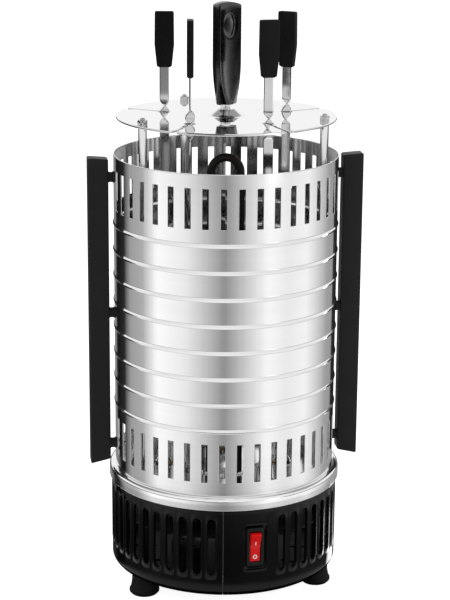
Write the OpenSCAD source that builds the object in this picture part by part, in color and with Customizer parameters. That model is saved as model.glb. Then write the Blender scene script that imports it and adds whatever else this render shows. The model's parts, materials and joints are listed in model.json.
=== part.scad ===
// Electric skewer grill: a ventilated motor base on three feet, a steel drip pan, a slotted drum that
// lifts off by two side bars, a top disc on three posts, a hairpin heater and five turning skewers.
// Millimetres. The origin is the middle of the plane that the feet stand on, +Z is up, and the front,
// with the seam and the switch, faces -Y. Azimuths are degrees from the front towards +X.

/* [Drum] */
// Outer radius of the drum
drum_r = 87.5; // [85:0.5:95]
// Thickness of the drum's sheet
drum_wall = 0.8; // [0.6:0.1:1]
// Height of the drum
drum_h = 251; // [240:1:300]
// Turn of the drum and its side bars on the pan
drum_turn = 8.2; // [0:0.1:30]
// Slot positions round the drum
drum_slot_count = 40; // [36:4:44]
// Width of a drum slot
drum_slot_w = 4.9; // [3:0.1:6]
// Height of a drum slot
drum_slot_h = 30.6; // [20:0.2:36]
// Lower slots, from the drum's bottom edge
drum_low_slot_z = 11; // [6:0.5:14]
// Upper slots, from their top to the drum's rim
drum_top_slot_drop = 11.2; // [6:0.2:16]
// Beads round the drum
bead_count = 8; // [4:1:9]
// Distance between two beads
bead_pitch = 20.64; // [16:0.02:22]
// Lowest bead, from the drum's bottom edge
bead_first_z = 52.4; // [46:0.2:60]
// How far a bead stands out
bead_out = 0.8; // [0.4:0.1:1.2]
// Radius of a bead's round
bead_r = 1.6; // [1.2:0.1:2.4]

/* [Side bars] */
// Gap between the drum and a side bar
bar_gap = 4.5; // [3:0.1:8]
// Depth of a side bar, away from the drum
bar_d = 16; // [12:0.5:20]
// Width of a side bar
bar_w = 14; // [10:0.5:18]
// Rounding of a side bar's upright edges
bar_round = 1.5; // [0.5:0.1:3]
// Lower end of a side bar, from the drum's bottom edge
bar_low_z = 5.6; // [2:0.1:8]
// Drop from the drum's rim to a side bar's upper end
bar_top_drop = 1.3; // [1:0.1:6]
// Rise of the upper end towards the outside
bar_top_rise = 1.2; // [0.5:0.1:3]
// Drop of the lower end towards the outside
bar_low_fall = 3.7; // [1:0.1:4]
// Diameter of a stand-off
standoff_d = 8; // [6:0.5:9]
// Diameter of a side bar's screw
bar_screw_d = 3; // [2.5:0.1:4]
// Diameter of a side bar's screw head
bar_screw_head_d = 6.5; // [5.5:0.1:7.5]
// Height of a side bar's screw head
bar_screw_head_h = 0.9; // [0.6:0.1:1]
// Length of a side bar's screw in the bar
bar_screw_bite = 9; // [6:0.5:11]

/* [Drip pan] */
// How far the pan stands out past the drum
pan_out = 4.9; // [4:0.1:7]
// Thickness of the pan's sheet
pan_wall = 0.8; // [0.6:0.1:1]
// Height of the drum's seat above the base
pan_rise = 10; // [8:0.5:14]
// Radius of the pan's shoulder
pan_shoulder_r = 3; // [2:0.1:4]
// Radius of the rolled rim
pan_roll_r = 1.2; // [0.9:0.1:1.5]
// Height of the lip that the drum drops over
lip_h = 3; // [2:0.5:5]
// Play between the lip and the drum
lip_gap = 0.5; // [0.3:0.1:0.8]
// Height of the pan's floor above the base
pan_floor_up = 2; // [1.5:0.1:3]

/* [Base] */
// How far the base stands in from the pan's rim
base_inset = 1.9; // [1.5:0.1:3]
// Height of the base shells
base_h = 71.5; // [68:0.5:84]
// Wall of the base shells
base_wall = 2.5; // [2:0.1:3]
// Rounding of the base's bottom edge
base_round = 5; // [4:0.5:12]
// How far the flange under the floor reaches in past the floor's edge
floor_lap = 17.5; // [10:0.5:18]
// Gap of the seam between the shells
seam_w = 0.3; // [0.2:0.05:0.6]
// Thickness of the floor
floor_t = 2; // [1.5:0.1:3]
// Width of a base vent
vent_w = 6; // [4:0.1:7]
// Drop from the base's top to a base vent's upper end
vent_top_drop = 7.7; // [5:0.1:16]
// Lower end of a base vent, from the base's bottom
vent_low_z = 17.6; // [14:0.2:20]
// Flare of a vent's lip
vent_lip = 0.9; // [0.4:0.1:1.2]
// Angle between two vents
vent_step = 7.25; // [7:0.05:9]
// Angle of the first vent left of the seam
vent_left_start = 5.8; // [5.5:0.1:8]
// Vents in the left shell
vent_left_count = 24; // [16:1:24]
// Angle of the first vent right of the seam, past the switch
vent_right_start = 30.1; // [29:0.1:34]
// Vents in the right shell
vent_right_count = 20; // [12:1:20]

/* [Feet] */
// Height of a foot
foot_h = 16.5; // [12:0.5:24]
// Diameter of a foot at the floor
foot_low_d = 24; // [20:0.5:28]
// Diameter of a foot at the base
foot_top_d = 19.5; // [16:0.5:22]
// Rounding of a foot's lower edge
foot_round = 2; // [1:0.1:3]

/* [Posts] */
// How far the posts stand in from the drum's outside
post_in = 10; // [9.5:0.1:11.5]
// Diameter of a post
post_d = 6.5; // [5.5:0.1:7]
// Diameter of a tie rod
rod_d = 4; // [3:0.1:4.5]
// Play of a tie rod in its holes
rod_play = 0.2; // [0.1:0.05:0.3]
// Outer diameter of a spacer tube
spacer_d = 8; // [7:0.1:9]
// Width across a rod nut's corners
rod_nut_d = 7.6; // [6.5:0.1:8]
// Height of a rod nut
rod_nut_h = 3.2; // [2:0.1:4]
// Tie rod past its nut
rod_tail = 1.6; // [0.5:0.1:3]

/* [Top disc] */
// Play between the disc and the inside of the drum
disc_gap = 1.4; // [1.2:0.1:2]
// Thickness of the disc
disc_t = 1.8; // [1.2:0.1:2.4]
// Clear height between the drum's rim and the disc
disc_lift = 27.8; // [20:0.2:40]
// Radius of the disc's raised middle
cone_r = 13.6; // [11:0.1:16]
// Rise of the disc's middle
cone_h = 5; // [3:0.1:6]
// Diameter of a skewer's hole in the disc
disc_hole_d = 9.3; // [9:0.1:11]
// Width of the slot from the rim to a skewer's hole
disc_slot_w = 2.6; // [2.2:0.1:3.5]
// Radius of the slot's lead-in
disc_lead_r = 9; // [4:0.5:12]

/* [Carry handle] */
// Gap between the disc and the carry handle
handle_lift = 8.6; // [7:0.2:14]
// Height of the carry handle
handle_h = 78.2; // [60:0.2:90]
// Width of the carry handle at the top
handle_w = 20; // [16:0.5:26]
// Width of the carry handle at the bottom
handle_low_w = 17.5; // [14:0.5:20]
// Thickness of the carry handle
handle_t = 11.6; // [9:0.2:14]
// Width of the carry handle's face at the bottom
handle_low_face = 5.4; // [4:0.2:8]
// Crown of the carry handle's top
handle_crown = 2.4; // [1:0.1:4]
// Turn of the carry handle
handle_turn = 30; // [0:1:60]
// Height of the finger recess
recess_h = 22.6; // [16:0.2:30]
// Width of the finger recess
recess_w = 13; // [8:0.5:14]
// Depth of the finger recess
recess_d = 3.4; // [1:0.1:4]
// Middle of the finger recess, from the handle's top
recess_drop = 17.4; // [14:0.2:24]
// Diameter of the handle's stud
stud_d = 5; // [4:0.1:6]
// Length of the stud in the handle
stud_bite = 16; // [10:0.5:24]
// Diameter of the collar under the handle
collar_d = 6.6; // [6:0.1:8]
// Width across the corners of the nut inside the cone
handle_nut_d = 8.2; // [7:0.1:9]

/* [Heater] */
// Diameter of the heater rod
heater_d = 6.5; // [5.5:0.1:8]
// Radius of the heater's bend
heater_bend_r = 11.4; // [10:0.1:14]
// Drop from the drum's rim to the heater's top
heater_drop = 0.4; // [0:0.1:20]
// Radius of the heater's flange
heater_flange_r = 22; // [20:0.5:24]
// Thickness of the heater's flange
heater_flange_t = 1.5; // [1:0.1:3]
// Length of a ceramic sleeve
sleeve_h = 8.8; // [6:0.1:9]
// Diameter of a ceramic sleeve
sleeve_d = 11; // [10:0.1:12]
// Diameter of a terminal pin
pin_d = 3; // [2:0.1:4]
// Length of a terminal pin
pin_h = 5; // [3:0.1:6]

/* [Skewers] */
// Skewers round the heater
skewer_count = 5; // [3:1:5]
// Azimuth of the first skewer
skewer_first = -105; // [-115:1:-95]
// Width of a blade
blade_w = 7.5; // [5:0.1:7.8]
// Thickness of a blade
blade_t = 1.5; // [1:0.1:1.6]
// Length of a blade's twist
twist_h = 22; // [16:1:30]
// Length of a blade's point
tip_h = 5; // [3:0.5:7]
// Gap between the disc and a grip
grip_lift = 35.2; // [25:0.1:50]
// Height of a grip
grip_h = 42.6; // [30:0.2:60]
// Width of a grip
grip_w = 15.2; // [12:0.2:18]
// Width of a grip's lower end
grip_low_w = 11.6; // [9:0.2:12]
// Thickness of a grip
grip_t = 5; // [4:0.1:7]
// Rounding of a grip's corners
grip_round = 1; // [0.5:0.1:2]

/* [Drive] */
// Module of the gears
gear_module = 2; // [1.94:0.01:2.06]
// Teeth of the middle gear
mid_teeth = 36; // [36:1:36]
// Teeth of a skewer gear
skewer_teeth = 14; // [14:1:14]
// Teeth of the motor's pinion
pinion_teeth = 10; // [10:1:10]
// Thickness of the gears
gear_t = 8; // [6:0.5:9]
// Drop from the base's top to the gear plate
plate_drop = 27; // [25:0.5:28]
// Thickness of the gear plate
plate_t = 1.5; // [1.2:0.1:2]
// Play between the gear plate and the shells
plate_gap = 3; // [2:0.5:5]
// Diameter of a skewer's spindle
spindle_d = 8; // [7:0.1:9]
// Running play of a shaft, on the radius
shaft_play = 0.05; // [0.02:0.01:0.08]
// Clearance between a turning face and its neighbour
face_gap = 0.3; // [0.2:0.05:0.5]
// Diameter of a bush's body
bush_d = 11; // [10:0.1:12]
// Diameter of a bush's flange
bush_flange_d = 14; // [13:0.1:15]
// Thickness of a bush's flange
bush_flange_t = 1.5; // [1:0.1:2]
// Length of a bush below its plate
bush_drop = 3.5; // [2:0.1:4]
// Diameter of a skewer's socket
cup_d = 14; // [13:0.1:16]
// Height of a skewer's socket
cup_h = 14; // [12:0.5:18]
// Play of a blade in its socket, each way
cup_play = 0.3; // [0.2:0.05:0.5]
// Diameter of the socket's drip skirt
skirt_d = 19; // [18:0.1:22]
// Outer diameter of the middle gear's hub
hub_d = 24; // [22:0.5:28]
// Bore of the hub, for the heater's leads
hub_bore = 16; // [12:0.5:18]

/* [Motor] */
// Diameter of the gear motor
motor_d = 44; // [36:0.5:46]
// Height of the gear motor
motor_h = 20; // [16:0.5:22]
// Distance from the motor's middle to its shaft
motor_offset = 8; // [6:0.5:10]
// Azimuth of the motor
motor_az = 147; // [146:0.5:148]
// Diameter of the motor's shaft
motor_shaft_d = 6; // [5:0.1:7]
// Distance from the motor's middle to a fixing ear
ear_r = 27; // [25:0.5:28]
// Diameter of a fixing ear
ear_d = 9; // [8:0.5:10]

/* [Switch] */
// Azimuth of the switch
switch_az = 16.2; // [14:0.1:18]
// Middle of the switch below the middle of the vents
switch_drop = 0.8; // [-2:0.2:3]
// Width of the recess round the switch
switch_recess_w = 17.2; // [16.5:0.1:19]
// Height of the recess round the switch
switch_recess_h = 36.5; // [33:0.5:38]
// Depth of the recess round the switch
switch_recess_d = 2.6; // [1.5:0.1:3]
// Width of the switch's frame
bezel_w = 14; // [13:0.1:15]
// Height of the switch's frame
bezel_h = 31.4; // [28:0.2:32]
// Thickness of the switch's frame
bezel_t = 1.8; // [1.5:0.1:2.5]
// Depth of the switch's body behind its frame
switch_body_d = 16; // [15:0.5:18]
// Width of the rocker
rocker_w = 8.2; // [7:0.1:9.8]
// Radius of the rocker's round ends
rocker_r = 12; // [10:0.1:12.4]
// Height of the rocker's ends over its pivot
rocker_end_out = 3.4; // [2:0.1:4]
// Height of the rocker's middle over its pivot
rocker_mid_out = 1.4; // [1:0.1:2]
// Tilt of the rocker each way
rocker_tilt = 11; // [8:0.5:12]
// Diameter of the rocker's pins
rocker_pin_d = 2.4; // [2:0.1:3]
// Length of a rocker's pin
rocker_pin_h = 1.4; // [1:0.1:1.6]
// Gap round the rocker
rocker_gap = 0.3; // [0.2:0.05:0.5]

/* [Small parts] */
// Diameter of the grommet's body, for the cord
grommet_d = 12; // [10:0.5:14]
// Diameter of the grommet's collars
grommet_collar_d = 16; // [15:0.5:18]
// Bore of the grommet
grommet_bore = 6.5; // [5:0.1:8]
// Thickness of the grommet's collars
grommet_collar_t = 2.5; // [2:0.1:3.5]
// Rise of the grommet from midway between the floor and the gear plate
grommet_rise = 1; // [-1:0.1:3]
// Diameter of a small screw
screw_d = 3; // [2.5:0.1:3.2]
// Diameter of a small screw's head
screw_head_d = 5.8; // [5:0.1:6]
// Height of a small screw's head
screw_head_h = 2; // [1.2:0.1:2.2]
// Length of the terminal block
block_l = 26; // [20:0.5:30]
// Width of the terminal block
block_w = 16; // [12:0.5:18]
// Height of the terminal block
block_h = 11; // [8:0.5:14]

/* [Hidden] */
$fn = 96;
// Overrun of a cut past the face it leaves
over = 1;
full_turn = 360;
half_turn = 180;
square_turn = 90;

// Azimuths of the three posts and feet
post_azimuths = [-54, 75, -154];
// Azimuths of the screws that hold the shells to the floor
floor_screw_azimuths = [-20, 20, 110, 160, -100];
// Turn of each skewer's blade, so that it faces as the photo shows
blade_turns = [3, 92, 14, -28, 60];
// Skew of each slot in the disc away from the radius
slot_skews = [-9, 16, -16, 9, 0];
// Side of the lead-in on each slot
lead_sides = [-1, -1, 1, 1, 1];

// Levels from the floor up
vent_h = base_h - vent_low_z - vent_top_drop;
base_z = foot_h;
floor_z = base_z + base_wall;
floor_top_z = floor_z + floor_t;
base_top_z = base_z + base_h;
plate_z = base_top_z - plate_drop;
plate_top_z = plate_z + plate_t;
gear_z = plate_top_z + bush_flange_t + face_gap;
grommet_z = (floor_top_z + plate_z) / 2 + grommet_rise;
gear_top_z = gear_z + gear_t;
pan_z = base_top_z + pan_floor_up;
pan_top_z = pan_z + pan_wall;
drum_z = base_top_z + pan_rise;
rim_z = drum_z + drum_h;
disc_z = rim_z + disc_lift;
disc_top_z = disc_z + disc_t;
cone_top_z = disc_top_z + cone_h;
handle_z = disc_top_z + handle_lift;
handle_top_z = handle_z + handle_h;
grip_z = disc_top_z + grip_lift;
cup_z = pan_top_z + bush_flange_t + face_gap;
cup_top_z = cup_z + cup_h;

// Radii
drum_in_r = drum_r - drum_wall;
pan_r = drum_r + pan_out;
base_r = pan_r - base_inset;
base_in_r = base_r - base_wall;
lip_r = drum_in_r - lip_gap;
disc_r = drum_in_r - disc_gap;
floor_r = base_r - base_round;
flange_in_r = floor_r - floor_lap;
post_r = drum_r - post_in;
plate_r = base_in_r - plate_gap;
rod_hole_d = rod_d + 2 * rod_play;
skewer_ring_r = (mid_teeth + skewer_teeth) * gear_module / 2;
motor_ring_r = (mid_teeth + pinion_teeth) * gear_module / 2;
motor_mid_r = motor_ring_r - motor_offset;
skewer_step = full_turn / skewer_count;

// Socket: a slot for the blade's end under a funnel
cup_floor_t = 1.2;
funnel_share = 2 / 7;
funnel_h = cup_h * funnel_share;
blade_low_z = cup_z + cup_floor_t + cup_play;
grip_cover_share = 2 / 3;
blade_top_z = grip_z + grip_h * grip_cover_share;
grip_waist_share = 0.4;

// Switch
switch_z = base_z + vent_low_z + vent_h / 2 - switch_drop;
switch_face_r = base_r - switch_recess_d;
pocket_w = rocker_w + 2 * rocker_gap;
pocket_h = 2 * (rocker_r + rocker_gap);
body_wall = 1.6;
body_w = pocket_w + 2 * body_wall;
body_h = pocket_h + 2 * body_wall;
cut_gap = 0.2;

skewer_ids = [for (k = [1 : skewer_count]) k];

function skewer_az(k) = skewer_first + skewer_step * (k - 1);

// Puts children at a radius and azimuth, with -Y pointing outwards
module at_azimuth(r, az, z = 0) {
    translate([r * sin(az), -r * cos(az), z]) rotate([0, 0, az]) children();
}

// Tube from the height z, with a bore
module tube(d, bore, z, h) {
    translate([0, 0, z]) difference() {
        cylinder(d = d, h = h);
        translate([0, 0, -over]) cylinder(d = bore, h = h + 2 * over);
    }
}

// Upright slot with round ends, seen from the front
module stadium(w, h) {
    translate([-w / 2, w / 2]) square([w, h - w]);
    translate([0, w / 2]) circle(d = w);
    translate([0, h - w / 2]) circle(d = w);
}

// Half section of a round vessel with a rounded lower edge
module vessel_section(r, h, round_r) {
    translate([0, round_r]) square([r, h - round_r]);
    square([r - round_r, h]);
    translate([r - round_r, round_r]) circle(r = round_r);
}

// Rectangle with rounded corners, centred
module rounded_rect(w, h, r) {
    square([w - 2 * r, h], center = true);
    square([w, h - 2 * r], center = true);
    for (x = [-1, 1], y = [-1, 1]) translate([x * (w / 2 - r), y * (h / 2 - r)]) circle(r = r);
}

// Feet, tie rods and spacers

module feet() {
    color("#161616") for (az = post_azimuths) at_azimuth(post_r, az) difference() {
        rotate_extrude() polygon([
            [0, 0], [foot_low_d / 2 - foot_round, 0], [foot_low_d / 2, foot_round],
            [foot_low_d / 2, 2 * foot_round], [foot_top_d / 2, foot_h], [0, foot_h]]);
        translate([0, 0, -over]) cylinder(d = rod_hole_d, h = foot_h + 2 * over);
        translate([0, 0, -over]) cylinder(d = foot_nut_room_d, h = foot_nut_room_h + over);
    }
}
foot_nut_room_d = rod_nut_d + 2 * cup_play;
foot_nut_room_h = rod_nut_h + 2 * rod_tail;

module foot_nuts() {
    color("silver") for (az = post_azimuths) at_azimuth(post_r, az, foot_nut_room_h - rod_nut_h)
        rod_nut();
}

module rod_nut() {
    difference() {
        cylinder(d = rod_nut_d, h = rod_nut_h, $fn = 6);
        translate([0, 0, -over]) cylinder(d = rod_hole_d, h = rod_nut_h + 2 * over);
    }
}

module tie_rods() {
    color("silver") for (az = post_azimuths) at_azimuth(post_r, az, rod_tail)
        cylinder(d = rod_d, h = disc_top_z + rod_nut_h);
}

module lower_spacers() {
    color("silver") for (az = post_azimuths) at_azimuth(post_r, az)
        tube(spacer_d, rod_hole_d, floor_top_z, plate_z - floor_top_z);
}

module upper_spacers() {
    color("silver") for (az = post_azimuths) at_azimuth(post_r, az)
        tube(spacer_d, rod_hole_d, plate_top_z, pan_z - plate_top_z);
}

module posts() {
    color("gainsboro") for (az = post_azimuths) at_azimuth(post_r, az)
        tube(post_d, rod_hole_d, pan_top_z, disc_z - pan_top_z);
}

module post_nuts() {
    color("silver") for (az = post_azimuths) at_azimuth(post_r, az, disc_top_z) rod_nut();
}

// Base

// One round-ended vent through the wall, with a flared lip outside
module vent_cut() {
    straight_h = vent_h - vent_w;
    flare = vent_lip + over;
    translate([0, over - base_in_r, 0]) rotate([square_turn, 0, 0])
        linear_extrude(height = base_wall + 2 * over) stadium(vent_w, vent_h);
    translate([0, vent_lip - base_r, vent_w / 2]) {
        for (z = [0, straight_h]) translate([0, 0, z]) rotate([square_turn, 0, 0])
            cylinder(r1 = vent_w / 2, r2 = vent_w / 2 + flare, h = flare);
        linear_extrude(height = straight_h) polygon([
            [-vent_w / 2, 0], [vent_w / 2, 0], [vent_w / 2 + flare, -flare], [-vent_w / 2 - flare, -flare]]);
    }
}

// Half of the base, on the side +1 or -1
module base_half(side) {
    difference() {
        translate([0, 0, base_z]) rotate([0, 0, -side * square_turn]) rotate_extrude(angle = half_turn)
            difference() {
                intersection() {
                    vessel_section(base_r, base_h, base_round);
                    square([base_r, base_h]);
                }
                translate([0, base_wall])
                    vessel_section(base_in_r, base_h, base_round - base_wall);
                translate([0, -over]) square([flange_in_r, base_wall + 2 * over]);
            }
        translate([-seam_w / 2, -base_r - over, base_z - over])
            cube([seam_w, 2 * (base_r + over), base_h + 2 * over]);
        for (az = post_azimuths) at_azimuth(post_r, az, base_z - over)
            cylinder(d = rod_hole_d, h = base_wall + 2 * over);
        for (az = floor_screw_azimuths) at_azimuth(floor_screw_r, az, base_z - over)
            cylinder(d = screw_hole_d, h = base_wall + 2 * over);
        at_azimuth(0, half_turn, grommet_z) translate([0, over - base_in_r, 0])
            rotate([square_turn, 0, 0]) cylinder(d = grommet_d, h = base_wall + 2 * over);
    }
}
floor_screw_r = (flange_in_r + floor_r) / 2;
screw_hole_d = screw_d + 2 * rod_play;

module base_shell_left() {
    color("#101010") difference() {
        base_half(-1);
        for (i = [0 : vent_left_count - 1])
            at_azimuth(0, -vent_left_start - i * vent_step, base_z + vent_low_z) vent_cut();
    }
}

module base_shell_right() {
    color("#101010") difference() {
        union() {
            base_half(1);
            at_azimuth(0, switch_az, switch_z) translate([0, -switch_box_r, 0])
                rotate([-square_turn, 0, 0]) linear_extrude(height = switch_box_r - switch_box_in_r) square(
                    [switch_recess_w + 2 * base_wall, switch_recess_h + 2 * base_wall], center = true);
        }
        at_azimuth(0, switch_az, switch_z) {
            translate([0, -switch_face_r, 0]) rotate([square_turn, 0, 0])
                linear_extrude(height = switch_recess_d + over)
                    square([switch_recess_w, switch_recess_h], center = true);
            translate([0, over - switch_box_in_r, 0]) rotate([square_turn, 0, 0])
                linear_extrude(height = base_wall * 2 + 2 * over)
                    square([body_w + 2 * cut_gap, body_h + 2 * cut_gap], center = true);
        }
        for (i = [0 : vent_right_count - 1])
            at_azimuth(0, vent_right_start + i * vent_step, base_z + vent_low_z) vent_cut();
    }
}
switch_box_r = base_in_r;
switch_box_in_r = switch_face_r - base_wall;

module base_floor() {
    color("#202020") difference() {
        translate([0, 0, floor_z]) cylinder(r = floor_r, h = floor_t);
        for (az = post_azimuths) at_azimuth(post_r, az, floor_z - over)
            cylinder(d = rod_hole_d, h = floor_t + 2 * over);
        for (az = floor_screw_azimuths) at_azimuth(floor_screw_r, az, floor_z - over)
            cylinder(d = screw_d, h = floor_t + 2 * over);
        for (i = [0 : floor_slot_count - 1]) at_azimuth(0, i * full_turn / floor_slot_count, floor_z - over)
            translate([0, -floor_slot_r, 0]) linear_extrude(height = floor_t + 2 * over)
                rotate([0, 0, half_turn]) stadium(floor_slot_w, floor_slot_l);
    }
}
floor_slot_count = 12;
floor_slot_w = 4;
floor_slot_l = 20;
floor_slot_r = flange_in_r / 2 + floor_slot_l;

module floor_screws() {
    color("silver") for (az = floor_screw_azimuths) at_azimuth(floor_screw_r, az, base_z)
        rotate([half_turn, 0, 0]) screw(base_wall + floor_t);
}

// Screw with its head's underside at the origin, head up and shank down
module screw(shank) {
    cylinder(d = screw_head_d, h = screw_head_h);
    translate([0, 0, -shank]) cylinder(d = screw_d, h = shank);
}

// Drive

// Points of a spur gear's outline, with stub involute teeth and play between them
function involute_point(base, r, turn) =
    let (a = acos(min(1, base / r)), swing = tan(a) * half_turn / PI - a + turn)
    [r * cos(swing), r * sin(swing)];
function gear_points(teeth) =
    let (
        pitch = teeth * gear_module / 2,
        base = pitch * cos(pressure_angle),
        tip = pitch + addendum_share * gear_module,
        root = pitch - dedendum_share * gear_module,
        flank_a = acos(base / pitch),
        half_tooth = (square_turn / teeth) - tooth_play_share * gear_module / pitch * half_turn / PI,
        start = -half_tooth - (tan(flank_a) * half_turn / PI - flank_a),
        low = max(base, root),
        radii = [for (i = [0 : flank_steps]) low + (tip - low) * i / flank_steps])
    [for (t = [0 : teeth - 1], p = concat(
        [[root * cos(start), root * sin(start)]],
        [for (r = radii) involute_point(base, r, start)],
        [for (i = [flank_steps : -1 : 0]) let (q = involute_point(base, radii[i], start)) [q[0], -q[1]]],
        [[root * cos(start), -root * sin(start)]]))
        let (c = cos(t * full_turn / teeth), s = sin(t * full_turn / teeth))
        [p[0] * c - p[1] * s, p[0] * s + p[1] * c]];
pressure_angle = 25;
addendum_share = 0.8;
dedendum_share = 1;
tooth_play_share = 0.06;
flank_steps = 4;

// Turn of a gear that meshes with the middle gear at an azimuth, both seen from above
function mesh_turn(az, teeth) =
    let (direction = az - square_turn)
    direction + half_turn + half_turn / teeth + direction * mid_teeth / teeth;

module spur_gear(teeth, bore) {
    linear_extrude(height = gear_t) difference() {
        polygon(gear_points(teeth));
        circle(d = bore);
    }
}

module gear_plate() {
    color("silver") difference() {
        translate([0, 0, plate_z]) cylinder(r = plate_r, h = plate_t);
        for (az = post_azimuths) at_azimuth(post_r, az, plate_z - over)
            cylinder(d = rod_hole_d, h = plate_t + 2 * over);
        for (k = skewer_ids) at_azimuth(skewer_ring_r, skewer_az(k), plate_z - over)
            cylinder(d = bush_d, h = plate_t + 2 * over);
        translate([0, 0, plate_z - over]) cylinder(d = hub_bore, h = plate_t + 2 * over);
        at_azimuth(motor_ring_r, motor_az, plate_z - over)
            cylinder(d = 2 * motor_shaft_d, h = plate_t + 2 * over);
        motor_ears() translate([0, 0, plate_z - over]) cylinder(d = screw_d, h = plate_t + 2 * over);
        at_azimuth(0, switch_az, plate_z - over)
            translate([-switch_room_w / 2, -plate_r - over, 0])
                cube([switch_room_w, plate_r + over - switch_room_in_r, plate_t + 2 * over]);
    }
}
switch_room_w = switch_recess_w + 2 * base_wall + 2 * plate_gap;
switch_room_in_r = switch_face_r - switch_body_d - plate_gap;

module lower_bushes() {
    color("peru") for (k = skewer_ids) at_azimuth(skewer_ring_r, skewer_az(k))
        flanged_bush(plate_top_z, plate_t);
}

module upper_bushes() {
    color("peru") for (k = skewer_ids) at_azimuth(skewer_ring_r, skewer_az(k))
        flanged_bush(pan_top_z, pan_wall);
}

// Bush with its flange on the face at z, through a plate of thickness t
module flanged_bush(z, t) {
    difference() {
        union() {
            translate([0, 0, z]) cylinder(d = bush_flange_d, h = bush_flange_t);
            translate([0, 0, z - t - bush_drop]) cylinder(d = bush_d, h = t + bush_drop);
        }
        translate([0, 0, z - t - bush_drop - over])
            cylinder(d = spindle_d + 2 * shaft_play, h = t + bush_drop + bush_flange_t + 2 * over);
    }
}

module gear_hub() {
    color("darkgray") difference() {
        union() {
            translate([0, 0, plate_top_z]) cylinder(d = hub_d + 2 * hub_step, h = bush_flange_t);
            translate([0, 0, plate_top_z]) cylinder(d = hub_d, h = hub_top_z - plate_top_z);
        }
        translate([0, 0, plate_top_z - over]) cylinder(d = hub_bore, h = hub_top_z - plate_top_z + 2 * over);
    }
}
hub_step = 4;
retainer_t = 1;
hub_top_z = gear_top_z + face_gap + retainer_t;

module gear_retainer() {
    color("silver") tube(hub_d + hub_step, hub_d, gear_top_z + face_gap, retainer_t);
}

module middle_gear() {
    color("ivory") difference() {
        translate([0, 0, gear_z]) spur_gear(mid_teeth, hub_d + 2 * shaft_play);
        for (i = [1 : web_hole_count])
            at_azimuth(web_hole_r, i * full_turn / web_hole_count, gear_z - over)
                cylinder(d = web_hole_d, h = gear_t + 2 * over);
    }
}
web_hole_count = 6;
web_hole_d = 9;
web_hole_r = (hub_d / 2 + mid_teeth * gear_module / 2 - gear_module) / 2;

module skewer_gear(k) {
    color("ivory") at_azimuth(skewer_ring_r, skewer_az(k), gear_z)
        rotate([0, 0, mesh_turn(skewer_az(k), skewer_teeth) - skewer_az(k)])
            spur_gear(skewer_teeth, spindle_d);
}

module motor_pinion() {
    color("ivory") at_azimuth(motor_ring_r, motor_az, gear_z)
        rotate([0, 0, mesh_turn(motor_az, pinion_teeth) - motor_az])
            spur_gear(pinion_teeth, motor_shaft_d);
}

module motor_shaft() {
    color("silver") at_azimuth(motor_ring_r, motor_az, plate_z - motor_h / 2)
        cylinder(d = motor_shaft_d, h = gear_top_z + face_gap - plate_z + motor_h / 2);
}

// Children at the motor's two fixing ears
module motor_ears() {
    at_azimuth(motor_mid_r, motor_az) for (s = [-1, 1]) rotate([0, 0, ear_turn])
        translate([0, s * ear_r, 0]) children();
}

module motor_body() {
    color("gray") difference() {
        union() {
            at_azimuth(motor_mid_r, motor_az, plate_z - motor_h) cylinder(d = motor_d, h = motor_h);
            motor_ears() translate([0, 0, plate_z - ear_t]) cylinder(d = ear_d, h = ear_t);
            at_azimuth(motor_mid_r, motor_az, plate_z - ear_t) rotate([0, 0, ear_turn])
                translate([-ear_d / 2, -ear_r, 0]) cube([ear_d, 2 * ear_r, ear_t]);
            at_azimuth(motor_ring_r, motor_az, plate_z) cylinder(d = motor_boss_d, h = plate_t);
        }
        at_azimuth(motor_ring_r, motor_az, plate_z - motor_h / 2)
            cylinder(d = motor_shaft_d + 2 * shaft_play, h = motor_h);
        motor_ears() translate([0, 0, plate_z - ear_t - over])
            cylinder(d = screw_hole_d, h = ear_t + 2 * over);
    }
}
ear_t = 1.5;
ear_turn = 45;
motor_boss_d = 2 * motor_shaft_d - 2 * cup_play;

module motor_screws() {
    color("silver") motor_ears() translate([0, 0, plate_z - ear_t]) rotate([half_turn, 0, 0])
        screw(ear_t + plate_t);
}

// Spindle: a shaft with a skirted socket above the pan, where the blade's end drops in
module spindle(k) {
    color("lightgray") at_azimuth(skewer_ring_r, skewer_az(k)) difference() {
        union() {
            translate([0, 0, spindle_low_z]) cylinder(d = spindle_d, h = cup_z - spindle_low_z);
            translate([0, 0, cup_z]) cylinder(d = cup_d, h = cup_h);
            translate([0, 0, cup_z]) cylinder(d1 = skirt_d, d2 = cup_d, h = skirt_h);
        }
        rotate([0, 0, blade_turns[k - 1] - skewer_az(k)])
            translate([-blade_w / 2 - cup_play, -blade_t / 2 - cup_play, cup_z + cup_floor_t])
                cube([blade_w + 2 * cup_play, blade_t + 2 * cup_play, cup_h]);
        translate([0, 0, cup_top_z - funnel_h])
            cylinder(d1 = blade_w + 2 * cup_play, d2 = funnel_d, h = funnel_h);
        translate([0, 0, cup_top_z]) cylinder(d = funnel_d, h = over);
    }
}
spindle_low_z = plate_z - bush_drop - face_gap;
skirt_h = 3;
funnel_wall = 1;
funnel_d = cup_d - 2 * funnel_wall;

// Pan

// Quarter of a ring in the first quadrant
module quarter_ring(r, wall) {
    intersection() {
        difference() {
            circle(r = r);
            circle(r = r - wall);
        }
        square([r, r]);
    }
}

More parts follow.
